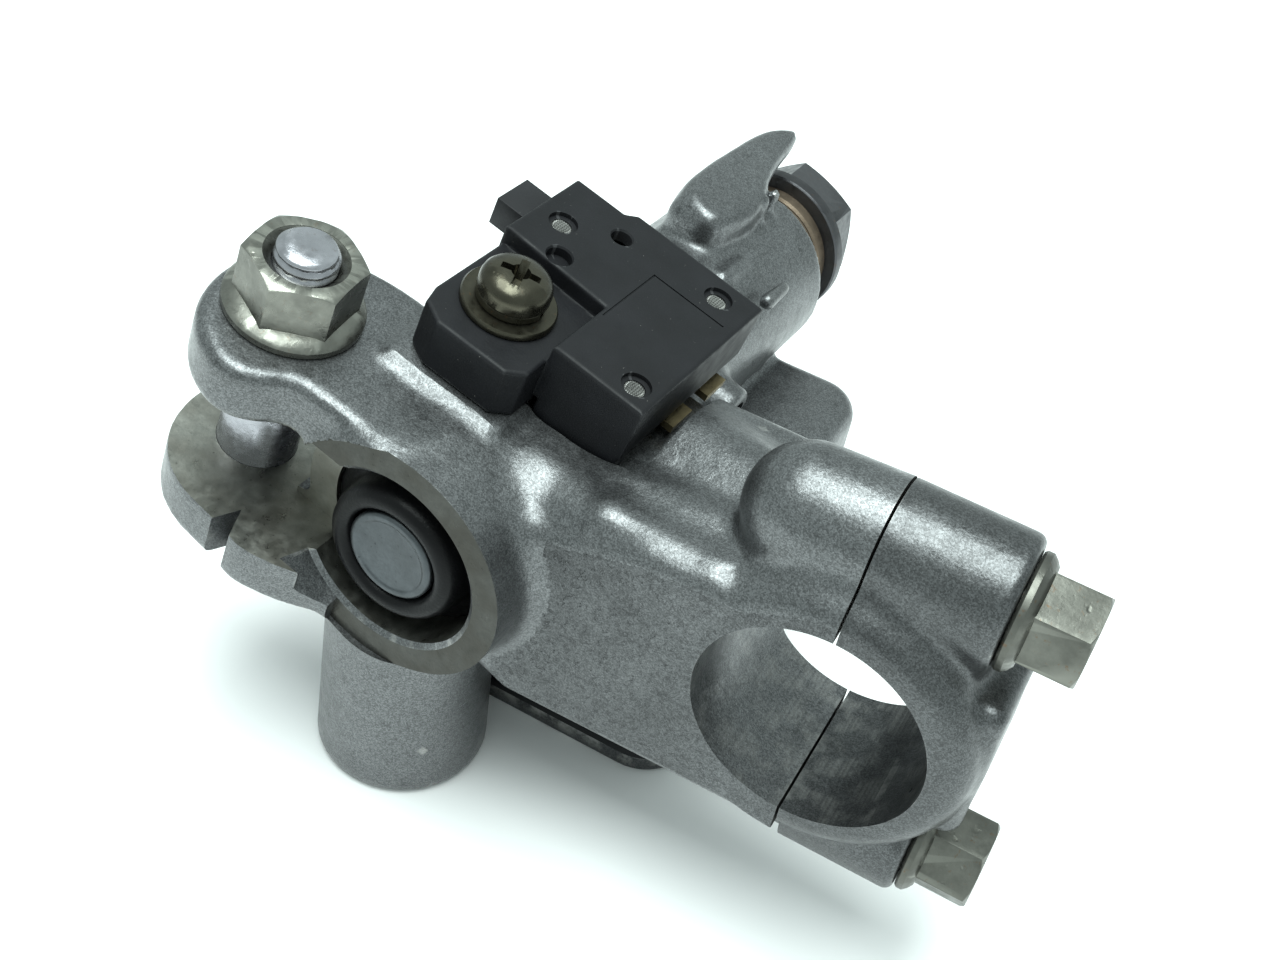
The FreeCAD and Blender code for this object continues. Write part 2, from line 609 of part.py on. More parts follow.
node("sealing_washers", in_head(group("sealing_washers", [
    tube("inner_washer", 7.9, 5.0, 2.0, ("barrel_len + 1.6", 0, 0)),
    tube("outer_washer", 7.9, 5.0, 2.0, ("barrel_len + 3.9", 0, 0))])))
node("banjo_bolt", in_head(banjo_bolt()))
node("switch_housing", in_head(switch_housing()))
node("switch_base", in_head(switch_base()))
node("switch_plunger", in_head(switch_plunger()))
node("switch_spring", in_head(coil("switch_spring", 1.2, 0.2, 1.1, 11.0, (29.1, -9.35, 16.9), "y")))
node("switch_contact", in_head(switch_contact()))
node("switch_terminals", in_head(switch_terminals()))
node("switch_pins", in_head(switch_pins()))
node("switch_screw", in_head(switch_screw()))
node("switch_screw_washers", in_head(switch_screw_washers()))

doc.recompute()
for obj in doc.Objects:
    if "Invalid" in obj.State or "Error" in obj.State:
        raise RuntimeError("%s did not compute: %s" % (obj.Name, obj.State))
os.makedirs("parts", exist_ok=True)
for name, obj in NODES:
    if obj.Shape.isNull() or not obj.Shape.isValid():
        raise RuntimeError(name + " has no valid shape")
    obj.Shape.exportStep("parts/%s.step" % name)
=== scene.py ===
"""Shapes and finishes of a motorcycle front brake master cylinder.

Sizes in the code are in millimetres. The "head" frame has its x along the cylinder from
its open end, y towards the lever's pivot and z along the pivot, as the casting is milled.
"""
import math

import bmesh
import bpy
import numpy as np
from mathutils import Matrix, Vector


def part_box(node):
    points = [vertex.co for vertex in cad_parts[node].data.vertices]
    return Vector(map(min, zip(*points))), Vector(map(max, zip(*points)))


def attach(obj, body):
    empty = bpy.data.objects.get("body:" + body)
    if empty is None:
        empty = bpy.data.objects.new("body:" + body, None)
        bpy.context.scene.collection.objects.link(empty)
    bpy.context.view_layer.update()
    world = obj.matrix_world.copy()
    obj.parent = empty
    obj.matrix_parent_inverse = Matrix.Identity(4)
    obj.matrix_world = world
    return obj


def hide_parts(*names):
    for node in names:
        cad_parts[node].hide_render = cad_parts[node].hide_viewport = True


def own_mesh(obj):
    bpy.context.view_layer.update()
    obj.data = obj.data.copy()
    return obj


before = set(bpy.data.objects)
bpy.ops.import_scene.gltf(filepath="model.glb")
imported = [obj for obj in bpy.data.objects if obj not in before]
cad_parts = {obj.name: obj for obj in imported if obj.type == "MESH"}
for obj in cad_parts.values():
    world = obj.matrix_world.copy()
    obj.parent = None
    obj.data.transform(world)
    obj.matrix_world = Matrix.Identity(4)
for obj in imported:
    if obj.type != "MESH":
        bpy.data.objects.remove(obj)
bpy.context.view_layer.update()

import openvdb
from mathutils import Matrix, Vector

bl_info = {
    "name": "Brake master cylinder",
    "version": (1, 0, 0),
    "blender": (4, 5, 0),
    "location": "View3D > Sidebar > Master cylinder",
    "description": "Builds the detailed pieces and finishes of a brake master cylinder",
    "category": "Object",
}

MM = 0.001
HEAD_ORIGIN = Vector((-4.7, 40.7, 0.1))
LEVER_TILT = math.radians(13.2)
BARREL_YAW = math.radians(-4.2)
HEAD_TURN = Matrix.Rotation(LEVER_TILT, 3, "X") @ Matrix.Rotation(BARREL_YAW, 3, "Z")

BAR_R = 11.1
CLAMP_W = 17.2
BOLT_Z = 15.6
SEAT_Y = 12.0
SEAM = 0.13
BARREL_R = 12.65
BARREL_END = 68.7
OUTLET_FACE = 70.3
BORE_R = 6.35
SLOT = (-6.1, 6.6)
EAR_TOP = 12.2
PIVOT = (6.4, 20.25)
MIRROR = (4.2, 42.7)
MIRROR_LOW = -33.8
COVER_SCREW_IN = 3.9
SCREW = (17.2, 5.4)
PINS = ((29.1, 8.2), (34.1, -7.6), (17.2, -8.9))
SWITCH_TOP = 20.5


# ---------------------------------------------------------------- frames and objects
def head_place(at=(0, 0, 0), along="w"):
    """Matrix that stands a piece's own Z along u, v or w of the head frame, at a head point."""
    turns = {
        "w": Matrix.Identity(3),
        "-w": Matrix.Rotation(math.pi, 3, "X"),
        "u": Matrix(((0, 0, 1), (1, 0, 0), (0, 1, 0))),
        "v": Matrix(((1, 0, 0), (0, 0, 1), (0, -1, 0))),
    }
    place = Matrix.Translation(HEAD_ORIGIN) @ HEAD_TURN.to_4x4() @ Matrix.Translation(Vector(at))
    return Matrix.Scale(MM, 4) @ place @ turns[along].to_4x4()


def row_place(at=(0, 0, 0), along="z"):
    """Matrix that stands a piece's own Z along an axis of the row frame."""
    turns = {
        "z": Matrix.Identity(3),
        "-z": Matrix.Rotation(math.pi, 3, "X"),
        "x": Matrix(((0, 0, 1), (1, 0, 0), (0, 1, 0))),
        "-y": Matrix(((1, 0, 0), (0, 0, -1), (0, 1, 0))),
        "y": Matrix(((1, 0, 0), (0, 0, 1), (0, -1, 0))),
    }
    return Matrix.Scale(MM, 4) @ Matrix.Translation(Vector(at)) @ turns[along].to_4x4()


def new_object(name, mesh):
    obj = bpy.data.objects.new(name, mesh)
    bpy.context.collection.objects.link(obj)
    return obj


def mesh_object(name, verts, faces, place=None):
    mesh = bpy.data.meshes.new(name)
    mesh.from_pydata([tuple(v) for v in verts], [], faces)
    if place is not None:
        mesh.transform(place)
        if place.determinant() < 0:
            mesh.flip_normals()
    mesh.update()
    return new_object(name, mesh)


def baked(obj):
    """Replace an object's mesh by what its modifiers make of it."""
    graph = bpy.context.evaluated_depsgraph_get()
    mesh = bpy.data.meshes.new_from_object(obj.evaluated_get(graph))
    obj.modifiers.clear()
    obj.data = mesh
    return obj


def combine(obj, tool, operation="DIFFERENCE"):
    """One boolean step; the tool is used up."""
    step = obj.modifiers.new("combine", "BOOLEAN")
    step.object = tool
    step.operation = operation
    step.solver = "MANIFOLD"
    bpy.context.view_layer.update()
    baked(obj)
    bpy.data.objects.remove(tool)
    if len(obj.data.polygons) == 0:
        raise RuntimeError("nothing is left of " + obj.name)
    return obj


def softened(obj, width, segments=2, angle=35):
    """Round every sharp edge by a small radius, in millimetres."""
    step = obj.modifiers.new("soften", "BEVEL")
    step.width = width * MM
    step.segments = segments
    step.limit_method = "ANGLE"
    step.angle_limit = math.radians(angle)
    step.harden_normals = False
    return baked(obj)


def smooth_faces(obj, angle=40):
    obj.data.shade_smooth()
    obj.data.set_sharp_from_angle(angle=math.radians(angle))
    return obj


def lathe(name, profile, place, segments=96, ring=False):
    """Turn a profile of (radius, height) points round the Z axis."""
    verts, rows = [], []
    for radius, height in profile:
        if radius < 1e-6:
            rows.append([len(verts)] * segments)
            verts.append((0, 0, height))
            continue
        rows.append(list(range(len(verts), len(verts) + segments)))
        for k in range(segments):
            a = 2 * math.pi * k / segments
            verts.append((radius * math.cos(a), radius * math.sin(a), height))
    pairs = list(zip(rows, rows[1:])) + ([(rows[-1], rows[0])] if ring else [])
    faces = []
    for low, high in pairs:
        for k in range(segments):
            n = (k + 1) % segments
            face = []
            for corner in (low[k], low[n], high[n], high[k]):
                if corner not in face:
                    face.append(corner)
            faces.append(face)
    obj = mesh_object(name, verts, faces, place)
    return outward(obj)


def outward(obj):
    """Make the faces look out of the solid."""
    work = bmesh.new()
    work.from_mesh(obj.data)
    bmesh.ops.recalc_face_normals(work, faces=work.faces)
    if work.calc_volume(signed=True) < 0:
        bmesh.ops.reverse_faces(work, faces=work.faces)
    work.to_mesh(obj.data)
    work.free()
    return obj


def prism(name, outline, low, high, place):
    """A straight prism over a flat outline."""
    n = len(outline)
    verts = [(x, y, low) for x, y in outline] + [(x, y, high) for x, y in outline]
    faces = [list(range(n))[::-1], list(range(n, 2 * n))]
    faces += [[k, (k + 1) % n, n + (k + 1) % n, n + k] for k in range(n)]
    return outward(mesh_object(name, verts, faces, place))


def brick(name, low, high, place):
    (x0, y0, z0), (x1, y1, z1) = low, high
    return prism(name, [(x0, y0), (x1, y0), (x1, y1), (x0, y1)], z0, z1, place)


def rod(name, radius, low, high, place, segments=96):
    return lathe(name, [(0, low), (radius, low), (radius, high), (0, high)], place, segments)


def hexagon(across, turn=0.0):
    far = across / math.sqrt(3)
    return [(far * math.cos(turn + k * math.pi / 3),
             far * math.sin(turn + k * math.pi / 3)) for k in range(6)]


def hex_head(name, across, low, high, place, turn=0.0, corner=0.9, both=False):
    """A hexagon whose corners are turned off at the top."""
    far = across / math.sqrt(3) + 0.15
    start = [(0, low), (far - corner, low), (far, low + 0.6 * corner)] if both else [(0, low), (far, low)]
    blank = lathe(name + "_turned", start + [(far, high - 0.62 * corner), (far - corner, high), (0, high)],
                  place)
    head = prism(name, hexagon(across, turn), low - 0.2, high + 0.2, place)
    return combine(head, blank, "INTERSECT")


def thread(name, radius, pitch, low, high, place, depth=0.34, segments=64, tip=0.6):
    """A screw thread: a cylinder whose surface winds in and out once per pitch."""
    rows = int((high - low) / pitch * 12)
    verts = []
    for j in range(rows + 1):
        z = low + (high - low) * j / rows
        for k in range(segments):
            a = 2 * math.pi * k / segments
            phase = (z / pitch - k / segments) % 1.0
            groove = depth * max(0.0, 1 - abs(phase - 0.5) * 2.6)
            fade = max(0.0, 1 - (high - z) / 0.9)
            r = radius - groove * (1 - 0.4 * fade) - tip * fade * fade
            verts.append((r * math.cos(a), r * math.sin(a), z))
    faces = []
    for j in range(rows):
        for k in range(segments):
            n = (k + 1) % segments
            faces.append([j * segments + k, j * segments + n, (j + 1) * segments + n,
                          (j + 1) * segments + k])
    faces.append(list(range(segments))[::-1])
    faces.append([rows * segments + k for k in range(segments)])
    return outward(mesh_object(name, verts, faces, place))


def merged(name, parts):
    """Several solids as one piece."""
    target = bmesh.new()
    for part in parts:
        target.from_mesh(part.data)
    mesh = bpy.data.meshes.new(name)
    target.to_mesh(mesh)
    target.free()
    for part in parts:
        bpy.data.objects.remove(part)
    return new_object(name, mesh)


def seat(obj, name, body, nodes, slot, *finishes):
    """Name a finished piece, give it its finishes and fix it to its body."""
    obj.name = name
    while len(obj.data.materials) < len(finishes):
        obj.data.materials.append(None)
    for k, finish in enumerate(finishes):
        obj.data.materials[k] = finish
    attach(obj, body)
    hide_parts(*nodes)
    return obj


# ---------------------------------------------------------------- rounded solids
class Field:
    """Signed distance on a grid round one piece, in the row frame or in the head frame."""

    def __init__(self, low, high, step, head=False):
        self.low = np.array(low, np.float32)
        self.step = step
        self.head = head
        axes = [np.arange(a, b, step, dtype=np.float32) for a, b in zip(low, high)]
        self.row = np.meshgrid(*axes, indexing="ij")

    def in_head(self):
        """The grid's points in the head frame."""
        turn = np.array(HEAD_TURN, np.float32)
        x, y, z = (c - np.float32(o) for c, o in zip(self.row, HEAD_ORIGIN))
        return [turn[0, k] * x + turn[1, k] * y + turn[2, k] * z for k in range(3)]

    def skin(self, name, distance, relax=3):
        """The surface where the distance is nought."""
        far = 3 * self.step
        grid = openvdb.FloatGrid(far)
        grid.copyFromArray(np.ascontiguousarray(np.clip(distance, -far, far), np.float32))
        points, tris, quads = grid.convertToPolygons(isovalue=0.0, adaptivity=0.0)
        points = points * self.step + self.low
        edges = np.concatenate([quads[:, [a, (a + 1) % 4]] for a in range(4)]
                               + [tris[:, [a, (a + 1) % 3]] for a in range(3)])
        count = np.bincount(edges.ravel(), minlength=len(points)).astype(np.float32)[:, None]
        for factor in (0.55, -0.57) * relax:
            total = np.zeros_like(points)
            for k in range(3):
                total[:, k] = np.bincount(edges[:, 0], points[edges[:, 1], k], len(points)) \
                    + np.bincount(edges[:, 1], points[edges[:, 0], k], len(points))
            points = points + factor * (total / np.maximum(count, 1) - points)
        faces = [tuple(q) for q in quads.tolist()] + [tuple(t) for t in tris.tolist()]
        place = head_place() if self.head else Matrix.Scale(MM, 4)
        obj = mesh_object(name, points.tolist(), faces, place)
        return outward(obj)


def mixed(radial, lengthwise, r):
    """Distance to a solid from its two outline distances, its edges rounded by r."""
    a, b = radial + r, lengthwise + r
    return np.hypot(np.maximum(a, 0), np.maximum(b, 0)) + np.minimum(np.maximum(a, b), 0) - r


def slab(p, low, high, r=0.0):
    q = [np.abs(c - (a + b) / 2) - ((b - a) / 2 - r) for c, a, b in zip(p, low, high)]
    out = np.sqrt(sum(np.maximum(c, 0) ** 2 for c in q))
    return out + np.minimum(np.maximum(np.maximum(q[0], q[1]), q[2]), 0) - r


def bar(p, axis, centre, radius, low, high, r=0.0):
    """A cylinder along one of the frame's axes."""
    j, k = [n for n in range(3) if n != axis]
    radial = np.hypot(p[j] - centre[0], p[k] - centre[1]) - radius
    return mixed(radial, np.abs(p[axis] - (low + high) / 2) - (high - low) / 2, r)


def turned(p, axis, centre, profile, r=0.0):
    """A solid of revolution, from (position, radius) points along an axis."""
    j, k = [n for n in range(3) if n != axis]
    where, radii = zip(*profile)
    radial = (np.hypot(p[j] - centre[0], p[k] - centre[1]) - np.interp(p[axis], where, radii)) * 0.98
    return mixed(radial, np.abs(p[axis] - (where[0] + where[-1]) / 2) - (where[-1] - where[0]) / 2, r)


def link(p, a, b, ra, rb):
    """A round link between two points, thicker or thinner at its ends."""
    a, b = np.array(a, np.float32), np.array(b, np.float32)
    d = b - a
    t = np.clip(sum((p[k] - a[k]) * d[k] for k in range(3)) / float(d @ d), 0, 1)
    return np.sqrt(sum((p[k] - a[k] - t * d[k]) ** 2 for k in range(3))) - (ra + (rb - ra) * t)


def plate(p, axis, outline, low, high, r=0.0):
    """A flat outline with thickness along an axis."""
    j, k = [n for n in range(3) if n != axis]
    x, y = p[j], p[k]
    best = np.full(np.broadcast(x, y).shape, 1e9, np.float32)
    inside = np.ones_like(best)
    n = len(outline)
    for i in range(n):
        (ax, ay), (bx, by) = outline[i], outline[(i + 1) % n]
        ex, ey = bx - ax, by - ay
        wx, wy = x - ax, y - ay
        t = np.clip((wx * ex + wy * ey) / (ex * ex + ey * ey), 0, 1)
        best = np.minimum(best, (wx - ex * t) ** 2 + (wy - ey * t) ** 2)
        above, left, side = y >= ay, y < by, ex * wy > ey * wx
        inside = np.where((above & left & side) | (~above & ~left & ~side), -inside, inside)
    flat = np.sqrt(best) * inside
    return mixed(flat, np.abs(p[axis] - (low + high) / 2) - (high - low) / 2, r)


def join(a, b, k):
    """Union with a fillet of about k."""
    h = np.clip(0.5 + 0.5 * (b - a) / k, 0, 1)
    return b + (a - b) * h - k * h * (1 - h)


def carve(a, b, k=0.0):
    """Take b out of a, the edge softened by k."""
    return -join(-a, b, k) if k else np.maximum(a, -b)


# ---------------------------------------------------------------- finishes
def add(tree, kind, at=(0, 0), **values):
    made = tree.nodes.new(kind)
    made.location = at
    for key, value in values.items():
        if hasattr(made, key):
            setattr(made, key, value)
        else:
            made.inputs[key.replace("_", " ")].default_value = value
    return made


def tone(tree, source, low, high, colours, at=(0, 0)):
    """A ramp from the first colour to the second between two levels."""
    ramp = add(tree, "ShaderNodeValToRGB", at)
    ramp.color_ramp.elements[0].position = low
    ramp.color_ramp.elements[1].position = high
    for element, colour in zip(ramp.color_ramp.elements, colours):
        element.color = (*colour, 1.0) if len(colour) == 3 else colour
    tree.links.new(source, ramp.inputs[0])
    return ramp.outputs[0]


def spread(tree, source, low, high, out_low, out_high):
    """Map a value from one range to another, clamped."""
    made = add(tree, "ShaderNodeMapRange")
    for name, value in zip(("From Min", "From Max", "To Min", "To Max"), (low, high, out_low, out_high)):
        made.inputs[name].default_value = value
    tree.links.new(source, made.inputs["Value"])
    return made.outputs[0]


def blend_colour(tree, factor, a, b, mode="MIX"):
    made = add(tree, "ShaderNodeMix", data_type="RGBA", blend_type=mode)
    for value, socket in ((factor, 0), (a, 6), (b, 7)):
        if isinstance(value, (int, float)):
            made.inputs[socket].default_value = value
        elif hasattr(value, "__len__"):
            made.inputs[socket].default_value = (*value, 1.0)
        else:
            tree.links.new(value, made.inputs[socket])
    return made.outputs[2]


class Finish:
    """A material under way: texture outputs in millimetre scales, ending in one shader."""

    def __init__(self, name, metallic, specular=0.5, coat=0.0, coat_roughness=0.2):
        self.material = bpy.data.materials.new(name)
        self.material.use_nodes = True
        self.tree = self.material.node_tree
        self.shader = self.tree.nodes["Principled BSDF"]
        self.shader.inputs["Metallic"].default_value = metallic
        self.shader.inputs["Specular IOR Level"].default_value = specular
        self.shader.inputs["Coat Weight"].default_value = coat
        self.shader.inputs["Coat Roughness"].default_value = coat_roughness
        self.where = add(self.tree, "ShaderNodeTexCoord").outputs["Object"]
        self.relief = None

    def noise(self, size, detail=3.0, rough=0.55, stretch=None, offset=0.0):
        """Noise whose features are about size millimetres."""
        where = self.where
        if stretch or offset:
            turn = add(self.tree, "ShaderNodeMapping")
            turn.inputs["Scale"].default_value = stretch or (1, 1, 1)
            turn.inputs["Location"].default_value = (offset, offset, offset)
            self.tree.links.new(where, turn.inputs["Vector"])
            where = turn.outputs[0]
        made = add(self.tree, "ShaderNodeTexNoise", Scale=1000.0 / size, Detail=detail, Roughness=rough)
        self.tree.links.new(where, made.inputs["Vector"])
        return made.outputs["Fac"]

    def cells(self, size, output="Color", feature="F1", spread_by=1.0):
        made = add(self.tree, "ShaderNodeTexVoronoi", Scale=1000.0 / size, feature=feature)
        made.inputs["Randomness"].default_value = spread_by
        self.tree.links.new(self.where, made.inputs["Vector"])
        return made.outputs[output]

    def raised_edges(self, low, high):
        """1 along worn outer edges, 0 elsewhere."""
        geo = add(self.tree, "ShaderNodeNewGeometry")
        return spread(self.tree, geo.outputs["Pointiness"], low, high, 0.0, 1.0)

    def bump(self, height, depth, strength=1.0):
        """Add relief of a depth in millimetres."""
        made = add(self.tree, "ShaderNodeBump", Strength=strength, Distance=depth * MM)
        self.tree.links.new(height, made.inputs["Height"])
        if self.relief is not None:
            self.tree.links.new(self.relief, made.inputs["Normal"])
        self.relief = made.outputs[0]

    def done(self, colour, roughness):
        self.tree.links.new(colour, self.shader.inputs["Base Color"])
        self.tree.links.new(roughness, self.shader.inputs["Roughness"])
        if self.relief is not None:
            self.tree.links.new(self.relief, self.shader.inputs["Normal"])
        return self.material


def times(colour, factor):
    return tuple(c * factor for c in colour)


def cast_paint(name, colour, grain, roughness=(0.27, 0.43), worn=0.35, pits=0.0):
    """Silver-grey metallic paint over a sand-cast surface."""
    f = Finish(name, 0.84, 0.5, coat=0.1, coat_roughness=0.25)
    patches = f.noise(9.0, 4.0)
    base = tone(f.tree, patches, 0.32, 0.7, (times(colour, 0.86), times(colour, 1.1)))
    flake = tone(f.tree, f.cells(0.12), 0.25, 0.95, ((0.4, 0.4, 0.4), (1.75, 1.75, 1.77)))
    base = blend_colour(f.tree, 0.6, base, flake, "MULTIPLY")
    dirt = spread(f.tree, f.noise(1.1, 5.0, 0.7, offset=0.4), 0.58, 0.72, 0.0, 0.65)
    base = blend_colour(f.tree, dirt, base, times(colour, 0.28))
    if worn:
        bare = spread(f.tree, f.noise(2.5, 4.0, offset=0.2), 0.45, 0.62, 0.0, worn)
        edge = add(f.tree, "ShaderNodeMath", operation="MULTIPLY")
        f.tree.links.new(bare, edge.inputs[0])
        f.tree.links.new(f.raised_edges(0.53, 0.6), edge.inputs[1])
        base = blend_colour(f.tree, edge.outputs[0], base, (0.62, 0.61, 0.58))
    f.bump(f.noise(3.6, 3.0), 0.10 * grain)
    f.bump(f.noise(0.75, 3.0, 0.6, offset=0.1), 0.036 * grain)
    f.bump(f.noise(0.22, 2.0), 0.012)
    if pits:
        hollow = spread(f.tree, f.noise(0.6, 2.0, offset=0.7), 0.33, 0.45, 0.0, 1.0)
        f.bump(hollow, 0.10 * pits)
        base = blend_colour(f.tree, spread(f.tree, hollow, 0.0, 0.6, 0.35, 0.0), base, times(colour, 0.4))
    rough = spread(f.tree, f.noise(1.6, 4.0, offset=0.3), 0.3, 0.72, *roughness)
    return f.done(base, rough)


def milled(name, colour, stain, roughness=(0.26, 0.5), metallic=0.95, stretch=(1, 1, 1), amount=0.6):
    """Bare milled metal, tarnished in patches, with fine tool marks."""
    f = Finish(name, metallic)
    tarnish = spread(f.tree, f.noise(4.0, 6.0, 0.65), 0.4, 0.64, 0.0, amount)
    lines = f.noise(0.5, 4.0, 0.7, stretch=stretch)
    base = blend_colour(f.tree, tarnish, tone(f.tree, lines, 0.3, 0.7,
                                              (times(colour, 0.8), times(colour, 1.12))), stain)
    specks = spread(f.tree, f.noise(0.45, 3.0, 0.6, offset=0.5), 0.66, 0.74, 0.0, 0.7)
    base = blend_colour(f.tree, specks, base, times(stain, 0.35))
    f.bump(lines, 0.02)
    f.bump(f.noise(0.5, 4.0, offset=0.9), 0.016)
    rough = spread(f.tree, f.noise(1.2, 5.0, offset=0.3), 0.3, 0.7, *roughness)
    return f.done(base, rough)


def plated(name, colour, rust, roughness=(0.2, 0.42), wear=0.5, rusty=0.4):
    """Zinc-plated steel with dull patches, wear on the corners and small rust spots."""
    f = Finish(name, 0.92)
    cloud = f.noise(3.0, 5.0, 0.6)
    base = tone(f.tree, cloud, 0.3, 0.72, (times(colour, 0.62), times(colour, 1.12)))
    base = blend_colour(f.tree, f.raised_edges(0.52, 0.6), base, times(colour, 1.35))
    spots = spread(f.tree, f.noise(0.7, 5.0, 0.7, offset=0.6), 0.6, 0.7, 0.0, rusty)
    base = blend_colour(f.tree, spots, base, rust)
    f.bump(f.noise(0.8, 4.0, offset=0.2), 0.03)
    f.bump(spread(f.tree, f.noise(1.4, 2.0, offset=0.8), 0.24, 0.34, 0.0, 1.0), 0.05 * wear)
    rough = spread(f.tree, f.noise(1.0, 5.0, offset=0.3), 0.3, 0.72, *roughness)
    return f.done(base, rough)


def moulded(name, colour, roughness=(0.38, 0.62), dust=0.5, grain=0.02, scuffs=0.6, gloss=0.24):
    """Moulded plastic or rubber with dust, fine scratches and rubbed edges."""
    f = Finish(name, 0.0, gloss)
    base = tone(f.tree, f.noise(5.0, 4.0), 0.3, 0.7, (times(colour, 0.75), times(colour, 1.3)))
    scratch = spread(f.tree, f.noise(0.9, 6.0, 0.75, stretch=(9, 1.2, 3)), 0.66, 0.72, 0.0, 0.4 * scuffs)
    base = blend_colour(f.tree, scratch, base, (0.07, 0.07, 0.072))
    specks = spread(f.tree, f.noise(0.35, 3.0, 0.6, offset=0.5), 0.72, 0.76, 0.0, dust)
    base = blend_colour(f.tree, specks, base, (0.2, 0.19, 0.175))
    base = blend_colour(f.tree, spread(f.tree, f.raised_edges(0.53, 0.62), 0.0, 1.0, 0.0, scuffs * 0.5),
                        base,
                        (0.10, 0.10, 0.105))
    f.bump(f.noise(0.3, 3.0), grain)
    rough = spread(f.tree, f.noise(2.2, 5.0, offset=0.3), 0.3, 0.7, *roughness)
    return f.done(base, rough)


# ---------------------------------------------------------------- settings
def colour_prop(name, about, default):
    return bpy.props.FloatVectorProperty(name=name, description=about, subtype="COLOR", size=3, min=0.0,
                                         max=1.0,
                                         default=default)


class CASTING_PG(bpy.types.PropertyGroup):
    paint: colour_prop("Paint", "Colour of the metallic paint", (0.150, 0.154, 0.157))
    bare: colour_prop("Bare metal", "Colour of the milled faces", (0.28, 0.28, 0.255))
    grain: bpy.props.FloatProperty(name="Grain", description="Depth of the sand-cast grain", default=1.0,
                                   min=0.0)
    step: bpy.props.FloatProperty(name="Surface step",
                                  description="Spacing of the casting's surface points",
                                  default=0.00042, min=0.0002, unit="LENGTH")
    fillet: bpy.props.FloatProperty(name="Fillet", description="Size of the cast fillets", default=0.0022,
                                    min=0.0005,
                                    unit="LENGTH")


class HARDWARE_PG(bpy.types.PropertyGroup):
    zinc: colour_prop("Zinc", "Colour of the nut and the clamp's bolts", (0.27, 0.27, 0.24))
    dark: colour_prop("Dark screw", "Colour of the switch's screw", (0.060, 0.056, 0.042))
    rust: colour_prop("Rust", "Colour of rust spots", (0.14, 0.075, 0.035))
    across: bpy.props.FloatProperty(name="Nut size", description="Pivot nut across its flats",
                                    default=0.010,
                                    unit="LENGTH")
    bolt_across: bpy.props.FloatProperty(name="Bolt size", description="Clamp bolt across its flats",
                                         default=0.008,
                                         unit="LENGTH")


class SWITCH_PG(bpy.types.PropertyGroup):
    plastic: colour_prop("Plastic", "Colour of the switch's shell", (0.0070, 0.0072, 0.0088))
    edge: bpy.props.FloatProperty(name="Edge", description="Radius of the shell's edges", default=0.00035,
                                  unit="LENGTH")


class STAGE_PG(bpy.types.PropertyGroup):
    floor: colour_prop("Floor", "Colour of the floor", (0.94, 0.94, 0.94))
    key: bpy.props.FloatProperty(name="Overhead light", description="Strength of the overhead light",
                                 default=1.0)
    sky: bpy.props.FloatProperty(name="Room light", description="Strength of the light from all round",
                                 default=1.0)


# ---------------------------------------------------------------- the casting
UPPER_EAR = [(16.9, 0), (16.9, 8), (17.8, 12), (17.3, 18), (15.3, 23.4), (11.4, 27), (6.4, 28), (1.5, 27),
             (-2.2, 24.2), (-4.0, 20.5), (-3.9, 17.8), (-2.6, 15.7), (-0.8, 14.2), (-0.1, 12.3), (-0.1, 0)]
LOWER_EAR = [(16.9, 0), (16.9, 8), (17.8, 12), (17.3, 18), (15.3, 23.4), (11.4, 27), (6.4, 28), (1.5, 27),
             (-2.2, 24.2), (-4.0, 20.5), (-4.3, 16.5), (-4.6, 13.9), (-5.1, 11.7), (-3.0, 5.8), (0.5, 1.5)]
PRONG = [(52.0, 1.0), (52.8, 4.8), (55.4, 7.2), (60.0, 7.5), (66.0, 7.4), (72.9, 7.0), (76.2, 5.6),
         (77.4, 4.2), (76.4, 3.4), (72.7, 2.9), (68.0, 2.0), (64.3, 0.8), (62.0, -0.4), (58.0, -1.0)]
TANK = (14.4, 16.0, 61.2, 55.6)


def eased(outline, rounds=2):
    """The outline with its corners cut back until it runs smoothly."""
    for _ in range(rounds):
        pairs = zip(outline, outline[1:] + outline[:1])
        outline = [(a[0] + (b[0] - a[0]) * t, a[1] + (b[1] - a[1]) * t)
                   for a, b in pairs for t in (0.25, 0.75)]
    return outline


def soft_box(p, rect, low, high, corner, r, grow=0.0):
    """An upright box with round corners and softer top and bottom edges."""
    x0, y0, x1, y1 = rect
    qx = np.abs(p[0] - (x0 + x1) / 2) - ((x1 - x0) / 2 + grow - corner)
    qy = np.abs(p[1] - (y0 + y1) / 2) - ((y1 - y0) / 2 + grow - corner)
    flat = np.hypot(np.maximum(qx, 0), np.maximum(qy, 0)) + np.minimum(np.maximum(qx, qy), 0) - corner
    return mixed(flat, np.abs(p[2] - (low + high) / 2) - (high - low) / 2, r)


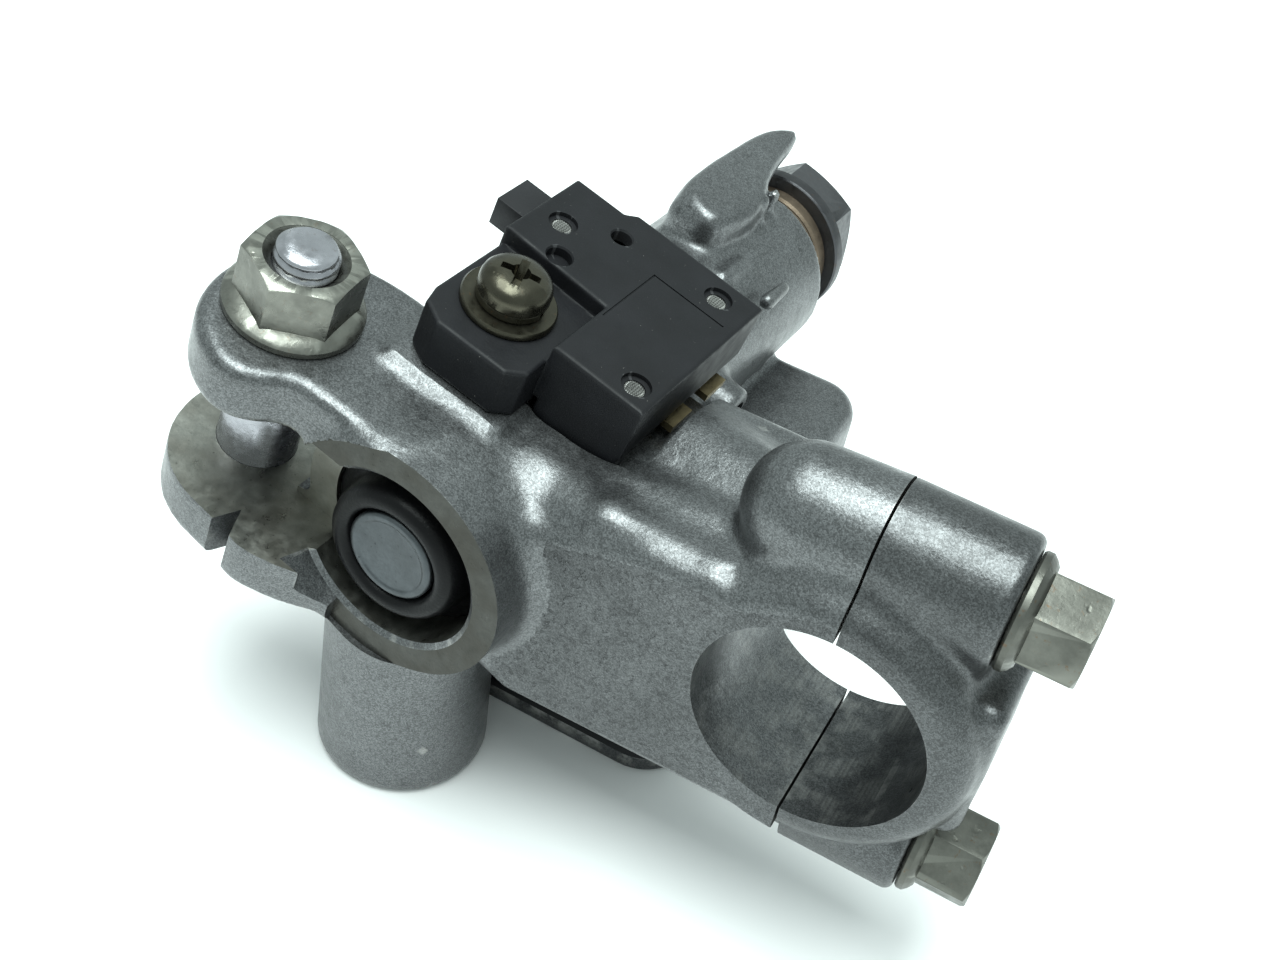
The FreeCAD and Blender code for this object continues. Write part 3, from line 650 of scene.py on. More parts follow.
def head_solid(p, k):
    """Cylinder, lever ears, switch pad, outlet finger and small bosses, in the head frame."""
    d = turned(p, 0, (0, 0), [(-0.7, BARREL_R), (20, BARREL_R), (31, 10.6), (66.4, 10.4),
                              (BARREL_END, 10.4)], 0.5)
    d = join(d, plate(p, 2, eased(UPPER_EAR), 5.9, 12.2, 1.4), 1.8)
    d = join(d, plate(p, 2, eased(LOWER_EAR), -11.6, -5.4, 0.9), 1.6)
    d = join(d, slab(p, (9.0, -1.3, 1.0), (21.0, 11.4, 13.0), 0.8), 0.9 * k)
    d = join(d, bar(p, 1, (42.0, 2.5), 3.2, -13.2, -4.0, 0.7), 0.8 * k)
    finger = join(plate(p, 2, eased(PRONG), 10.7, 14.2, 1.3),
                  slab(p, (52.4, 0.4, 5.0), (64.4, 6.9, 12.6), 1.5), 2.2)
    for u in (62.2, 64.6):
        finger = join(finger, link(p, (u, -0.6, 9.4), (u, -0.2, 13.4), 0.55, 0.55), 0.6)
    d = join(d, finger, 1.6)
    for u, v in ((52.8, -3.0), (54.2, -8.2)):
        d = join(d, link(p, (u - 2.0, v, 9.9), (u + 2.0, v, 9.7), 0.9, 0.7), 1.0)
    return np.minimum(d, turned(p, 0, (0, 0), [(60, 8.4), (OUTLET_FACE, 8.4)], 0.3))


def clamp_side(q, k):
    """The web, its ribs and the body's half of the clamp, in the row frame."""
    web = plate(q, 0, [(-2, -14.6), (29.5, -15.2), (36, -12), (36, 7.0), (24, 8.4), (18, 10.2),
                       (-2, 11.2)], 0, 17.2, 1.6)
    ring = bar(q, 0, (0, 0), 14.8, 0, 17.2, 3.2)
    ring = np.minimum(ring, bar(q, 0, (0, 0), 14.8, 0, 8.0, 0.7) + np.maximum(q[2] + 2.0, 0) * 0.6)
    near_rib = link(q, (4.4, 32.0, 6.6), (3.4, 23.0, 8.9), 2.4, 2.3)
    near_rib = join(near_rib, link(q, (3.4, 23.0, 8.9), (3.2, 12.0, 9.1), 2.3, 2.3), 0.8)
    near_rib = join(near_rib, link(q, (3.2, 12.0, 9.1), (3.9, 1.0, 10.2), 2.3, 2.5), 0.8)
    arm = slab(q, (3.4, 9.0, -14.0), (25.5, 34.0, 10.6), 2.8)
    arm = join(arm, link(q, (8.4, 24.0, 8.4), (7.6, 9.0, 9.8), 2.2, 2.6), 0.8 * k)
    arm = join(arm, link(q, (19.0, 30.0, 6.6), (14.6, 12.0, 8.4), 5.6, 5.0), 1.2 * k)
    lug = link(q, (8.9, -6.0, 15.9), (8.8, 7.2, 15.7), 6.35, 6.0)
    low_lug = link(q, (9.2, -6.0, -15.5), (9.2, 3.6, -15.0), 6.1, 5.9)
    d = join(np.minimum(web, ring), near_rib, 0.7 * k)
    d = join(d, arm, 0.8 * k)
    d = join(d, lug, 1.0 * k)
    return join(d, low_lug, 0.8 * k)


def tank_solid(q):
    """The reservoir's outside, with its step and its rim, in the row frame."""
    walls = soft_box(q, TANK, -30.6, -9.0, 4.8, 2.6)
    walls = join(walls, soft_box(q, TANK, -30.6, -17.6, 5.2, 0.7, 0.55), 0.5)
    rim = soft_box(q, TANK, -30.6, -28.4, 5.9, 0.7, 1.2)
    return join(walls, rim, 0.8)


def rounded_rectangle(x0, y0, x1, y1, r, steps=10):
    points = []
    for cx, cy, start in ((x1 - r, y1 - r, 0), (x0 + r, y1 - r, 90), (x0 + r, y0 + r, 180),
                          (x1 - r, y0 + r, 270)):
        for k in range(steps + 1):
            a = math.radians(start + 90 * k / steps)
            points.append((cx + r * math.cos(a), cy + r * math.sin(a)))
    return points


def bore_tool():
    """The cylinder's bore with its recess, groove and outlet, along u."""
    profile = [(0, -3), (10.6, -3), (9.9, 0.0), (9.4, 0.45), (9.4, 7.4), (8.2, 7.4), (8.2, 9.2), (8.9, 9.2),
               (8.9, 10.5), (8.2, 10.5), (8.2, 12.4), (BORE_R, 12.4), (BORE_R, 60.0), (4.98, 61.4),
               (4.98, 80), (0, 80)]
    return lathe("bore", profile, head_place(along="u"), 128)


def milling(obj):
    """Everything that is milled or drilled after casting."""
    head = head_place()
    row = row_place()
    x0, y0, x1, y1 = TANK
    facing = rod("ring_face", 12.8, -4.0, 0.0, head_place(along="u"), 160)
    tools = [
        combine(facing, brick("kept", (-6, 3.2, -20), (1, 20, SLOT[0]), head)),
        brick("slot", (-12, -3, SLOT[0]), (-0.02, 40, SLOT[1]), head),
        brick("slot_mouth", (-1, 3.2, SLOT[0]), (4.4, 14.2, SLOT[1]), head),
        brick("slot_inside", (-1, 13.2, SLOT[0]), (24, 40, SLOT[1]), head),
        prism("notch", [(-7.5, 12.3), (-7.5, 17.2), (-1.5, 14.9)], -13, -5, head),
        bore_tool(),
        rod("upper_hole", 3.1, 5, 14, head_place((*PIVOT, 0))),
        rod("lower_hole", 4.04, -14, -5, head_place((*PIVOT, 0))),
        brick("ear_seat", (9.2, -2.2, 13.0), (24, 13, 26), head),
        brick("switch_seat", (14.2, -13.5, 10.9), (39.4, -1.0, 26), head),
        brick("switch_seat_far", (21, -1.2, 10.9), (39.0, 13, 26), head),
        rod("switch_tap", 1.72, 6.2, 15, head_place((*SCREW, 0))),
        rod("bar", BAR_R, -6, 40, row_place(along="x"), 160),
        brick("clamp_face", (-30, -40, -60), (60, SEAM, 60), row),
        *[rod("clamp_tap", 2.96, -1, deep, row_place((CLAMP_W / 2, 0, z), "y"))
          for z, deep in ((BOLT_Z, 11.3), (-BOLT_Z, 13))],
        lathe("mirror_hole", [(0, -36), (5.9, -36), (5.9, -33.7), (5.0, -32.9), (5.0, -15.8), (0, -15.8)],
              row_place((*MIRROR, 0))),
        prism("tank_hollow", rounded_rectangle(x0 + 3, y0 + 3, x1 - 3, y1 - 3, 7.5), -32, -12.7, row),
        rod("inlet", 1.5, -14.5, -5.5, head_place((20.5, 0, 0))),
        rod("relief", 0.6, -14.5, -5.5, head_place((43.5, 0, 0))),
        rod("side_hole", 2.0, -14, -9, head_place((42.0, 0, 2.5), "v")),
        *[rod("cover_tap", 1.6, -32, -23.6, row_place((x, y, 0)))
          for x, y in ((x0 + COVER_SCREW_IN, y0 + COVER_SCREW_IN),
                       (x1 - COVER_SCREW_IN, y1 - COVER_SCREW_IN))],
    ]
    for tool in tools:
        combine(obj, tool)
    return obj


def sort_faces(obj):
    """Give the milled faces the second finish, the web's near face the third, the clamp's seam faces the
    fourth (near black, painted shade for the gap) and the ring face the fifth (milled metal darkened as
    painted shade).
    """
    mesh = obj.data
    count = len(mesh.polygons)
    centre = np.empty(count * 3, np.float32)
    normal = np.empty(count * 3, np.float32)
    mesh.polygons.foreach_get("center", centre)
    mesh.polygons.foreach_get("normal", normal)
    centre = centre.reshape(-1, 3) / MM
    normal = normal.reshape(-1, 3)
    turn = np.array(HEAD_TURN, np.float32)
    head = (centre - np.array(HEAD_ORIGIN, np.float32)) @ turn
    facing = normal @ turn
    u, v, w = head.T
    out = np.hypot(v, w)
    kind = np.zeros(count, np.int32)
    kind[(centre[:, 0] < 0.25) & (normal[:, 0] < -0.96) & (centre[:, 1] < 31)] = 2
    kind[(out < 9.5) & (u > -0.5) & (u < 71)] = 1
    kind[(u > -0.5) & (u < 4.6) & (v > 3.1) & (v < 14.3) & (w > SLOT[0] - 0.1) & (w < SLOT[1] + 0.1)] = 1
    # Ring face: fifth finish, the milled metal made much darker; the darkening is painted shade.
    kind[(u < 0.6) & (facing[:, 0] < -0.8) & (out < 12.85) & ((w > SLOT[0]) | (v < 3.2) | (u > -0.05))] = 4
    for level in SLOT:
        kind[(np.abs(w - level) < 0.06) & (np.abs(facing[:, 2]) > 0.95) & ((v > 3.0) | (u < 0.1))] = 1
    kind[(np.abs(u - BARREL_END) < 0.4) & (facing[:, 0] > 0.7)] = 1
    # Seam faces: near-black finish, painted shade for the dark gap between the clamp's halves.
    kind[(centre[:, 1] < SEAM + 0.02) & (normal[:, 1] < -0.9)] = 3
    kind[(np.hypot(centre[:, 0] - MIRROR[0], centre[:, 1] - MIRROR[1]) < 6.0) & (centre[:, 2] < -15)] = 1
    mesh.polygons.foreach_set("material_index", kind)
    return obj


class MASTER_OT_casting(bpy.types.Operator):
    """Builds the painted body casting with its milled faces and bores"""
    bl_idname = "master_cylinder.casting"
    bl_label = "Casting"

    def execute(self, context):
        look = context.scene.master_casting
        k = look.fillet / MM
        field = Field((-9.6, -1.2, -34.6), (74.6, 71.8, 24.0),
                      look.step / MM * (1.0))
        q = field.row
        p = field.in_head()
        d = join(head_solid(p, k), clamp_side(q, k), 1.3 * k)
        d = join(d, tank_solid(q), 1.0 * k)
        d = join(d, turned(q, 2, MIRROR, [(MIRROR_LOW, 9.15), (-8, 8.5)], 0.8), 1.1 * k)
        d = np.maximum(d, MIRROR_LOW - q[2])
        d = carve(d, link(q, (9.8, 15.8, 14.3), (12.8, 12.8, 15.2), 1.5, 1.5), 0.15)
        obj = field.skin("casting", d)
        milling(obj)
        smooth_faces(sort_faces(obj), 33)
        seat(obj, "body_casting", "casting", ["cylinder_body"], "casting_paint",
             cast_paint("casting_paint", look.paint, look.grain),
             milled("milled_alloy", look.bare, (0.13, 0.12, 0.10), amount=0.5),
             cast_paint("pitted_paint", times(look.paint, 0.86), 0.6 * look.grain, (0.5, 0.66), 0.2, 1.0),
             # Near-black seam finish: painted shade for the gap between the clamp's halves.
             moulded("seam_painted_shade", (0.02, 0.019, 0.017), (0.7, 0.85), 0.3, 0.03, 0.0),
             # Ring face finish: the milled metal at about a quarter of its brightness, as painted shade.
             milled("faced_ring_painted_shade", times(look.bare, 0.24), (0.04, 0.037, 0.03), amount=0.6))
        return {"FINISHED"}


class MASTER_OT_clamp_cap(bpy.types.Operator):
    """Builds the loose half of the handlebar clamp"""
    bl_idname = "master_cylinder.clamp_cap"
    bl_label = "Clamp cap"

    def execute(self, context):
        look = context.scene.master_casting
        k = look.fillet / MM
        field = Field((-1.0, -19.0, -24.0), (18.4, 2.0, 24.0), 0.3)
        q = field.row
        d = bar(q, 0, (0, 0), 14.8, 0, CLAMP_W, 3.0)
        d = join(d, slab(q, (3.2, -15.2, -8.4), (14.0, 0, 8.4), 1.6), 0.5 * k)
        for z in (BOLT_Z, -BOLT_Z):
            d = join(d, bar(q, 1, (8.9, z), 6.3, -SEAT_Y, 6.0, 1.1), 0.9 * k)
            d = carve(d, bar(q, 1, (CLAMP_W / 2, z), 6.1, -30, -SEAT_Y, 0.0), 0.4)
        obj = field.skin("cap", d)
        tools = [
            rod("bar", BAR_R, -6, 40, row_place(along="x"), 160),
            brick("face", (-30, -SEAM, -60), (60, 30, 60), row_place()),
        ] + [rod("bolt_hole", 3.2, -30, 6, row_place((CLAMP_W / 2, 0, z), "y")) for z in (BOLT_Z, -BOLT_Z)]
        for tool in tools:
            combine(obj, tool)
        centre = np.array([f.center.y for f in obj.data.polygons]) / MM
        facing = np.array([f.normal.y for f in obj.data.polygons])
        # The cap's seam faces get the near-black second finish: painted shade for the gap between the
        # halves.
        obj.data.polygons.foreach_set("material_index",
                                      ((centre > -SEAM - 0.02) & (facing > 0.9)).astype(np.int32))
        smooth_faces(obj, 33)
        # Near-black seam finish: painted shade for the gap between the clamp's halves.
        painted_shade = moulded("cap_seam_painted_shade", (0.02, 0.019, 0.017), (0.7, 0.85), 0.3, 0.03, 0.0)
        seat(obj, "clamp_cap_casting", "casting", ["clamp_cap"], "casting_paint",
             cast_paint("cap_paint", times(look.paint, 0.66), look.grain), painted_shade)
        return {"FINISHED"}


# ---------------------------------------------------------------- fasteners
class MASTER_OT_clamp_bolts(bpy.types.Operator):
    """Builds the two flanged bolts of the handlebar clamp"""
    bl_idname = "master_cylinder.clamp_bolts"
    bl_label = "Clamp bolts"

    def execute(self, context):
        look = context.scene.master_hardware
        bolts = []
        for z, turn in ((BOLT_Z, 0.35), (-BOLT_Z, 0.05)):
            place = row_place((CLAMP_W / 2, -SEAT_Y, z), "-y")
            head = hex_head("bolt_hex", look.bolt_across / MM, 1.0, 6.6, place, turn, 0.75)
            combine(head, lathe("dish", [(0, 6.1), (2.4, 6.25), (3.2, 6.7), (3.2, 7.2), (0, 7.2)], place))
            flange = lathe("flange", [(0, 0), (5.2, 0), (5.4, 0.25), (5.4, 0.8), (5.0, 1.25), (4.5, 1.6),
                                      (0, 1.9)], place)
            shank = rod("shank", 2.93, -23.0, 0.4, place)
            bolts.append(softened(combine(combine(head, flange, "UNION"), shank, "UNION"), 0.16))
        obj = smooth_faces(merged("bolts", bolts))
        seat(obj, "clamp_bolt_pair", "casting", ["clamp_bolts"], "zinc_steel",
             plated("zinc_bolts", times(look.zinc, 0.55), look.rust, (0.28, 0.5), 0.8, 0.6))
        return {"FINISHED"}


class MASTER_OT_pivot(bpy.types.Operator):
    """Builds the lever's pivot bolt and its flanged nut"""
    bl_idname = "master_cylinder.pivot"
    bl_label = "Lever pivot"

    def execute(self, context):
        look = context.scene.master_hardware
        place = head_place((*PIVOT, EAR_TOP))
        nut = hex_head("nut_hex", look.across / MM, 0.5, 6.4, place, math.radians(8), 0.85)
        flange = lathe("nut_flange", [(0, 0), (6.45, 0), (6.6, 0.2), (6.6, 0.75), (6.3, 1.05), (5.4, 1.5),
                                      (0, 2.4)], place)
        combine(nut, flange, "UNION")
        combine(nut, lathe("nut_hole", [(0, -1), (3.06, -1), (3.06, 5.5), (3.95, 6.35), (3.95, 7), (0, 7)],
                           place))
        smooth_faces(softened(nut, 0.22, 3))
        seat(nut, "pivot_flange_nut", "casting", ["pivot_nut"], "zinc_steel",
             plated("zinc_nut", times(look.zinc, 0.8), look.rust, (0.22, 0.42), 0.7, 0.35))

        base = head_place((*PIVOT, 0))
        shank = lathe("shank", [(0, -15.2), (6.1, -15.2), (6.4, -14.9), (6.4, -11.9), (6.1, -11.6),
                                (4.0, -11.6), (4.0, 6.3), (3.7, 6.6), (2.9, 6.6), (2.9, 12.4),
                                (0, 12.4)], base)
        combine(shank, brick("slot", (-7, -0.7, -15.4), (7, 0.7, -13.8), base))
        shank = softened(shank, 0.12)
        winding = thread("thread", 3.0, 1.0, 12.0, 19.9, base)
        obj = smooth_faces(merged("pivot", [shank, winding]), 50)
        seat(obj, "pivot_bolt", "casting", ["lever_pivot_bolt"], "zinc_steel",
             plated("bright_steel", (0.40, 0.40, 0.43), look.rust, (0.16, 0.34), 0.6, 0.25))
        return {"FINISHED"}


class MASTER_OT_outlet(bpy.types.Operator):
    """Builds the banjo bolt and its two sealing washers"""
    bl_idname = "master_cylinder.outlet"
    bl_label = "Outlet bolt"

    def execute(self, context):
        look = context.scene.master_hardware
        washers = []
        for start in (OUTLET_FACE, OUTLET_FACE + 2.3):
            place = head_place((start, 0, 0), "u")
            washers.append(lathe("washer", [(5.0, 0), (7.6, 0), (7.9, 0.3), (7.9, 1.7), (7.6, 2.0),
                                            (5.0, 2.0)],
                                 place, ring=True))
        obj = smooth_faces(merged("washers", washers))
        seat(obj, "outlet_washers", "casting", ["sealing_washers"], "copper_washer",
             milled("copper_washer", (0.20, 0.155, 0.115), (0.08, 0.058, 0.04), (0.35, 0.6), 0.85,
                    amount=0.7))

        place = head_place((OUTLET_FACE, 0, 0), "u")
        head = hex_head("banjo_hex", 14.0, 6.2, 12.8, place, 0.2, 1.2)
        flange = lathe("banjo_flange", [(0, 4.4), (9.1, 4.4), (9.3, 4.6), (9.3, 6.0), (8.6, 6.9),
                                        (7.8, 7.4), (0, 7.6)],
                       place)
        combine(head, flange, "UNION")
        combine(head, rod("banjo_shank", 4.9, -8.4, 4.6, place), "UNION")
        combine(head, rod("banjo_way", 1.6, -9.0, 2.4, place))
        combine(head, rod("banjo_cross", 1.1, -6, 6, head_place((72.5, 0, 0), "v")))
        smooth_faces(softened(head, 0.25, 3))
        seat(head, "outlet_banjo_bolt", "casting", ["banjo_bolt"], "bolt_steel",
             plated("dark_bolt", (0.075, 0.075, 0.08), look.rust, (0.3, 0.5), 0.6, 0.4))
        return {"FINISHED"}


# ---------------------------------------------------------------- piston
class MASTER_OT_piston(bpy.types.Operator):
    """Builds the piston, the dust boot round its end and the return spring"""
    bl_idname = "master_cylinder.piston"
    bl_label = "Piston"

    def execute(self, context):
        place = head_place(along="u")
        profile = [(0, 0.72), (3.7, 0.68), (3.95, 0.5), (4.4, 0.5), (4.7, 0.8), (4.7, 3.4), (4.3, 3.7),
                   (4.3, 4.7), (4.7, 5.0), (4.7, 12.9), (6.1, 12.9), (6.31, 13.1), (6.31, 16.6),
                   (6.1, 16.8), (3.6, 16.8), (3.6, 20.4), (6.31, 20.4), (6.31, 22.0), (3.6, 22.0),
                   (3.6, 34.6), (6.31, 34.6), (6.31, 37.6), (2.6, 37.6), (2.6, 41.8), (3.2, 41.8),
                   (3.2, 42.8), (2.2, 42.8), (2.2, 44.7), (1.9, 45.0), (0, 45.0)]
        obj = smooth_faces(softened(lathe("piston", profile, place, 128), 0.12), 45)
        seat(obj, "push_piston", "piston", ["piston"], "piston_alloy",
             milled("piston_alloy", (0.088, 0.097, 0.104), (0.035, 0.038, 0.04), (0.3, 0.46), 0.9,
                    amount=0.35))

        rubber = moulded("black_rubber", (0.004, 0.004, 0.0045), (0.28, 0.42), 0.3, 0.03, 0.2, 0.13)
        fold = [(4.87, 1.4), (5.05, 0.75), (5.45, 0.35), (5.95, 0.25), (6.5, 0.4), (6.95, 0.85),
                (7.2, 1.5), (7.3, 2.3), (7.45, 3.2), (7.9, 4.0), (8.8, 4.4), (9.3, 4.9), (9.3, 7.0),
                (9.0, 7.2), (7.5, 7.2), (7.2, 6.6), (6.9, 5.2), (6.5, 3.4), (6.2, 2.6), (5.8, 2.3),
                (5.4, 2.6), (5.2, 3.3), (4.87, 3.4)]
        boot = smooth_faces(lathe("boot", fold, place, 128, ring=True), 70)
        seat(boot, "piston_boot", "casting", ["dust_boot"], "black_rubber", rubber)
        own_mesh(boot)

        steel = plated("spring_steel", (0.42, 0.42, 0.44), (0.16, 0.1, 0.06), (0.25, 0.4), 0.2, 0.1)
        coil = new_object("coil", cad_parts["return_spring"].data.copy())
        seat(smooth_faces(coil), "piston_return_coil", "casting", ["return_spring"], "spring_steel", steel)
        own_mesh(coil)
        inner = new_object("coil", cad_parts["switch_spring"].data.copy())
        seat(smooth_faces(inner), "switch_return_coil", "casting", ["switch_spring"], "spring_steel", steel)
        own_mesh(inner)
        for name in ("primary_cup", "secondary_cup", "reservoir_diaphragm"):
            dress(name, rubber)
        for name in ("piston_stop_washer", "retaining_circlip", "port_baffle"):
            dress(name, steel)
        return {"FINISHED"}


def dress(node, finish):
    """Give a node of the frame its finish."""
    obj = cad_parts[node]
    obj.data.materials.clear()
    obj.data.materials.append(finish)
    return obj


# ---------------------------------------------------------------- reservoir cover
class MASTER_OT_cover(bpy.types.Operator):
    """Finishes the reservoir's cover, its screws and the plate inside"""
    bl_idname = "master_cylinder.cover"
    bl_label = "Reservoir cover"

    def execute(self, context):
        look = context.scene.master_casting
        metal = context.scene.master_hardware
        dress("reservoir_cover", cast_paint("cover_paint", times(look.paint, 0.6), 0.6, (0.4, 0.6), 0.6))
        dress("cover_screws", plated("cover_screw_zinc", metal.zinc, metal.rust, (0.3, 0.5), 0.6, 0.6))
        dress("diaphragm_plate", moulded("pale_plastic", (0.5, 0.48, 0.42), (0.4, 0.6), 0.2, 0.02, 0.1))
        return {"FINISHED"}


# ---------------------------------------------------------------- brake light switch
class MASTER_OT_switch(bpy.types.Operator):
    """Builds the brake light switch's shell and plunger and finishes its inner parts"""
    bl_idname = "master_cylinder.switch"
    bl_label = "Brake light switch"

    def execute(self, context):
        look = context.scene.master_switch
        edge = look.edge / MM
        place = head_place()
        field = Field((8.6, -12.6, 9.8), (38.6, 12.6, 21.6), 0.16, head=True)
        p = field.row
        top = [(14.6, -11.4), (37.1, -11.4), (37.1, 4.2), (36.0, 5.3), (36.0, 11.25), (23.7, 11.25),
               (23.1, -1.2), (14.6, -1.2)]
        lug = [(10.1, 0.4), (9.9, 8.0), (11.3, 10.4), (13.5, 11.0), (25.0, 11.0), (25.0, -1.2),
               (11.7, -1.2)]
        d = plate(p, 2, top, 13.9, SWITCH_TOP, edge)
        d = np.minimum(d, plate(p, 2, lug, 13.05, 18.6, edge))
        d = np.minimum(d, slab(p, (14.6, -11.4, 11.1), (16.1, -1.7, 14.6), edge))
        obj = field.skin("switch", d, 2)
        tools = [
            brick("hollow", (23.8, -9.6, 13.0), (35.0, 8.4, 19.1), place),
            brick("plunger_slot", (28.2, 8.0, 15.2), (33.6, 12.8, 19.2), place),
            rod("screw_way", 2.2, 10, 30, head_place((*SCREW, 0))),
            brick("line_a", (21.9, -1.9, 20.36), (31.15, -1.65, 21), place),
            brick("line_b", (30.95, -10.1, 20.36), (31.15, -1.8, 21), place),
            lathe("vent", [(0, 17.5), (1.1, 17.5), (1.1, 20.3), (1.3, 20.6), (0, 20.6)],
                  head_place((32.7, 3.4, 0))),
            lathe("small_hole", [(0, 19.4), (1.3, 19.4), (1.3, 20.3), (1.5, 20.6), (0, 20.6)],
                  head_place((24.9, 5.6, 0))),
        ]
        tools += [lathe("pin_way", [(0, 18.8), (1.05, 18.8), (1.05, 20.0), (1.5, 20.05), (1.5, 20.6),
                                    (0, 20.6)],
                        head_place((x, y, 0))) for x, y in PINS]
        for tool in tools:
            combine(obj, tool)
        plastic = moulded("switch_plastic", look.plastic, (0.40, 0.62), 0.6, 0.02, 0.8)
        seat(smooth_faces(obj, 33), "switch_shell", "casting", ["switch_housing"], "switch_plastic",
             plastic)

        button = brick("button", (28.4, 11.4, 15.4), (33.4, 15.2, 18.6), place)
        softened(combine(button, brick("stem", (28.3, 2.42, 15.5), (30.1, 11.8, 18.4), place), "UNION"),
                 0.3, 3)
        seat(smooth_faces(button), "switch_button_block", "switch_button", ["switch_plunger"],
             "switch_plastic", plastic)

        pins = []
        for x, y in PINS:
            pins.append(knurled_end("pin", 1.0, 1.2, head_place((x, y, SWITCH_TOP - 1.7))))
        seat(smooth_faces(merged("pins", pins), 20), "switch_rivets", "casting", ["switch_pins"],
             "bolt_steel",
             plated("rivet_steel", (0.24, 0.24, 0.23), (0.1, 0.08, 0.06), (0.35, 0.55), 0.5, 0.3))

        dress("switch_base", moulded("base_plastic", (0.05, 0.045, 0.04), (0.45, 0.65), 0.3, 0.02, 0.3))
        brass = plated("contact_brass", (0.20, 0.16, 0.09), (0.08, 0.06, 0.035), (0.25, 0.4), 0.3, 0.2)
        for name in ("switch_terminals", "switch_contact"):
            dress(name, brass)
        return {"FINISHED"}


def knurled_end(name, radius, height, place, cells=7):
    """A pin whose end is pressed into a grid of small points."""
    verts, faces, rows = [], [], []
    n = cells * 4
    for j in range(n + 1):
        rows.append([])
        for k in range(n + 1):
            x, y = 2 * k / n - 1, 2 * j / n - 1
            sx = x * math.sqrt(max(0.0, 1 - y * y / 2)) * radius
            sy = y * math.sqrt(max(0.0, 1 - x * x / 2)) * radius
            rim = 1 - max(abs(x), abs(y)) ** 6
            wave = abs(math.sin(math.pi * cells * k / n)) * abs(math.sin(math.pi * cells * j / n))
            lift = 0.16 * wave * rim
            rows[-1].append(len(verts))
            verts.append((sx, sy, height + lift - 0.1))
    for j in range(n):
        for k in range(n):
            faces.append([rows[j][k], rows[j][k + 1], rows[j + 1][k + 1], rows[j + 1][k]])
    border = rows[0][:-1] + [r[-1] for r in rows[:-1]] + rows[-1][:0:-1] + [r[0] for r in rows[:0:-1]]
    foot = []
    for index in border:
        foot.append(len(verts))
        verts.append((verts[index][0], verts[index][1], 0))
    m = len(border)
    faces += [[border[(k + 1) % m], border[k], foot[k], foot[(k + 1) % m]] for k in range(m)]
    faces.append(foot[::-1])
    return outward(mesh_object(name, verts, faces, place))


class MASTER_OT_switch_screw(bpy.types.Operator):
    """Builds the switch's pan-head screw and its two washers"""
    bl_idname = "master_cylinder.switch_screw"
    bl_label = "Switch screw"

    def execute(self, context):
        look = context.scene.master_hardware
        place = head_place((*SCREW, 20.35)) @ Matrix.Rotation(math.radians(20), 4, "Z")
        dome = [(0, 0), (3.35, 0), (3.5, 0.15), (3.5, 0.95), (3.38, 1.45), (3.05, 1.9), (2.5, 2.24),
                (1.7, 2.44), (0.8, 2.5), (0, 2.5)]
        screw = lathe("screw", dome, place, 96)
        combine(screw, rod("shank", 1.68, -12.3, 0.2, place), "UNION")
        combine(screw, cross_tool(place))
        smooth_faces(softened(screw, 0.1, 2, 40))
        seat(screw, "switch_mounting_screw", "casting", ["switch_screw"], "dark_screw",
             plated("dark_screw", look.dark, (0.06, 0.035, 0.018), (0.18, 0.36), 0.8, 0.5))

        base = head_place((*SCREW, 18.6))
        flat = lathe("flat", [(1.8, 0), (4.5, 0), (4.65, 0.15), (4.65, 0.6), (4.5, 0.78), (1.8, 0.78)],
                     base, ring=True)
        split = lathe("split", [(1.8, 0.82), (3.2, 0.82), (3.35, 0.95), (3.35, 1.6), (3.2, 1.72),
                                (1.8, 1.72)], base,
                      ring=True)
        combine(split, prism("gap", [(-0.1, -5), (0.4, -5), (0.7, -1.2), (0.2, -1.2)], 0.5, 2.2, base))
        obj = smooth_faces(merged("washers", [flat, split]))
        seat(obj, "switch_screw_washer_pair", "casting", ["switch_screw_washers"], "bolt_steel",
             plated("dark_washer", times(look.dark, 0.9), look.rust, (0.25, 0.45), 0.5, 0.6))
        return {"FINISHED"}


def cross_tool(place):
    """A tapered cross, as the driver leaves it."""
    arms = []
    for turn in (0, math.pi / 2):
        spin = Matrix.Rotation(turn, 4, "Z")
        wide, thin, top, low = 2.15, 0.42, 2.8, 0.75
        verts = [(-wide, -thin, top), (wide, -thin, top), (wide, thin, top), (-wide, thin, top),
                 (-0.9, -0.32, low), (0.9, -0.32, low), (0.9, 0.32, low), (-0.9, 0.32, low)]
        faces = [[0, 1, 2, 3], [7, 6, 5, 4], [0, 4, 5, 1], [1, 5, 6, 2], [2, 6, 7, 3], [3, 7, 4, 0]]
        arms.append(outward(mesh_object("arm", verts, faces, place @ spin)))
    middle = lathe("middle", [(0, low), (0.75, low), (1.0, 2.9), (0, 2.9)], place, 32)
    return combine(combine(arms[0], arms[1], "UNION"), middle, "UNION")


# ---------------------------------------------------------------- stage
def area_light(name, at, to, size, power, colour=(1, 1, 1)):
    data = bpy.data.lights.new(name, "AREA")
    data.shape = "RECTANGLE"
    data.size, data.size_y = size
    data.energy = power
    data.color = colour
    obj = bpy.data.objects.new(name, data)
    bpy.context.collection.objects.link(obj)
    obj.location = at
    obj.rotation_euler = (Vector(to) - Vector(at)).to_track_quat("-Z", "Y").to_euler()
    return obj


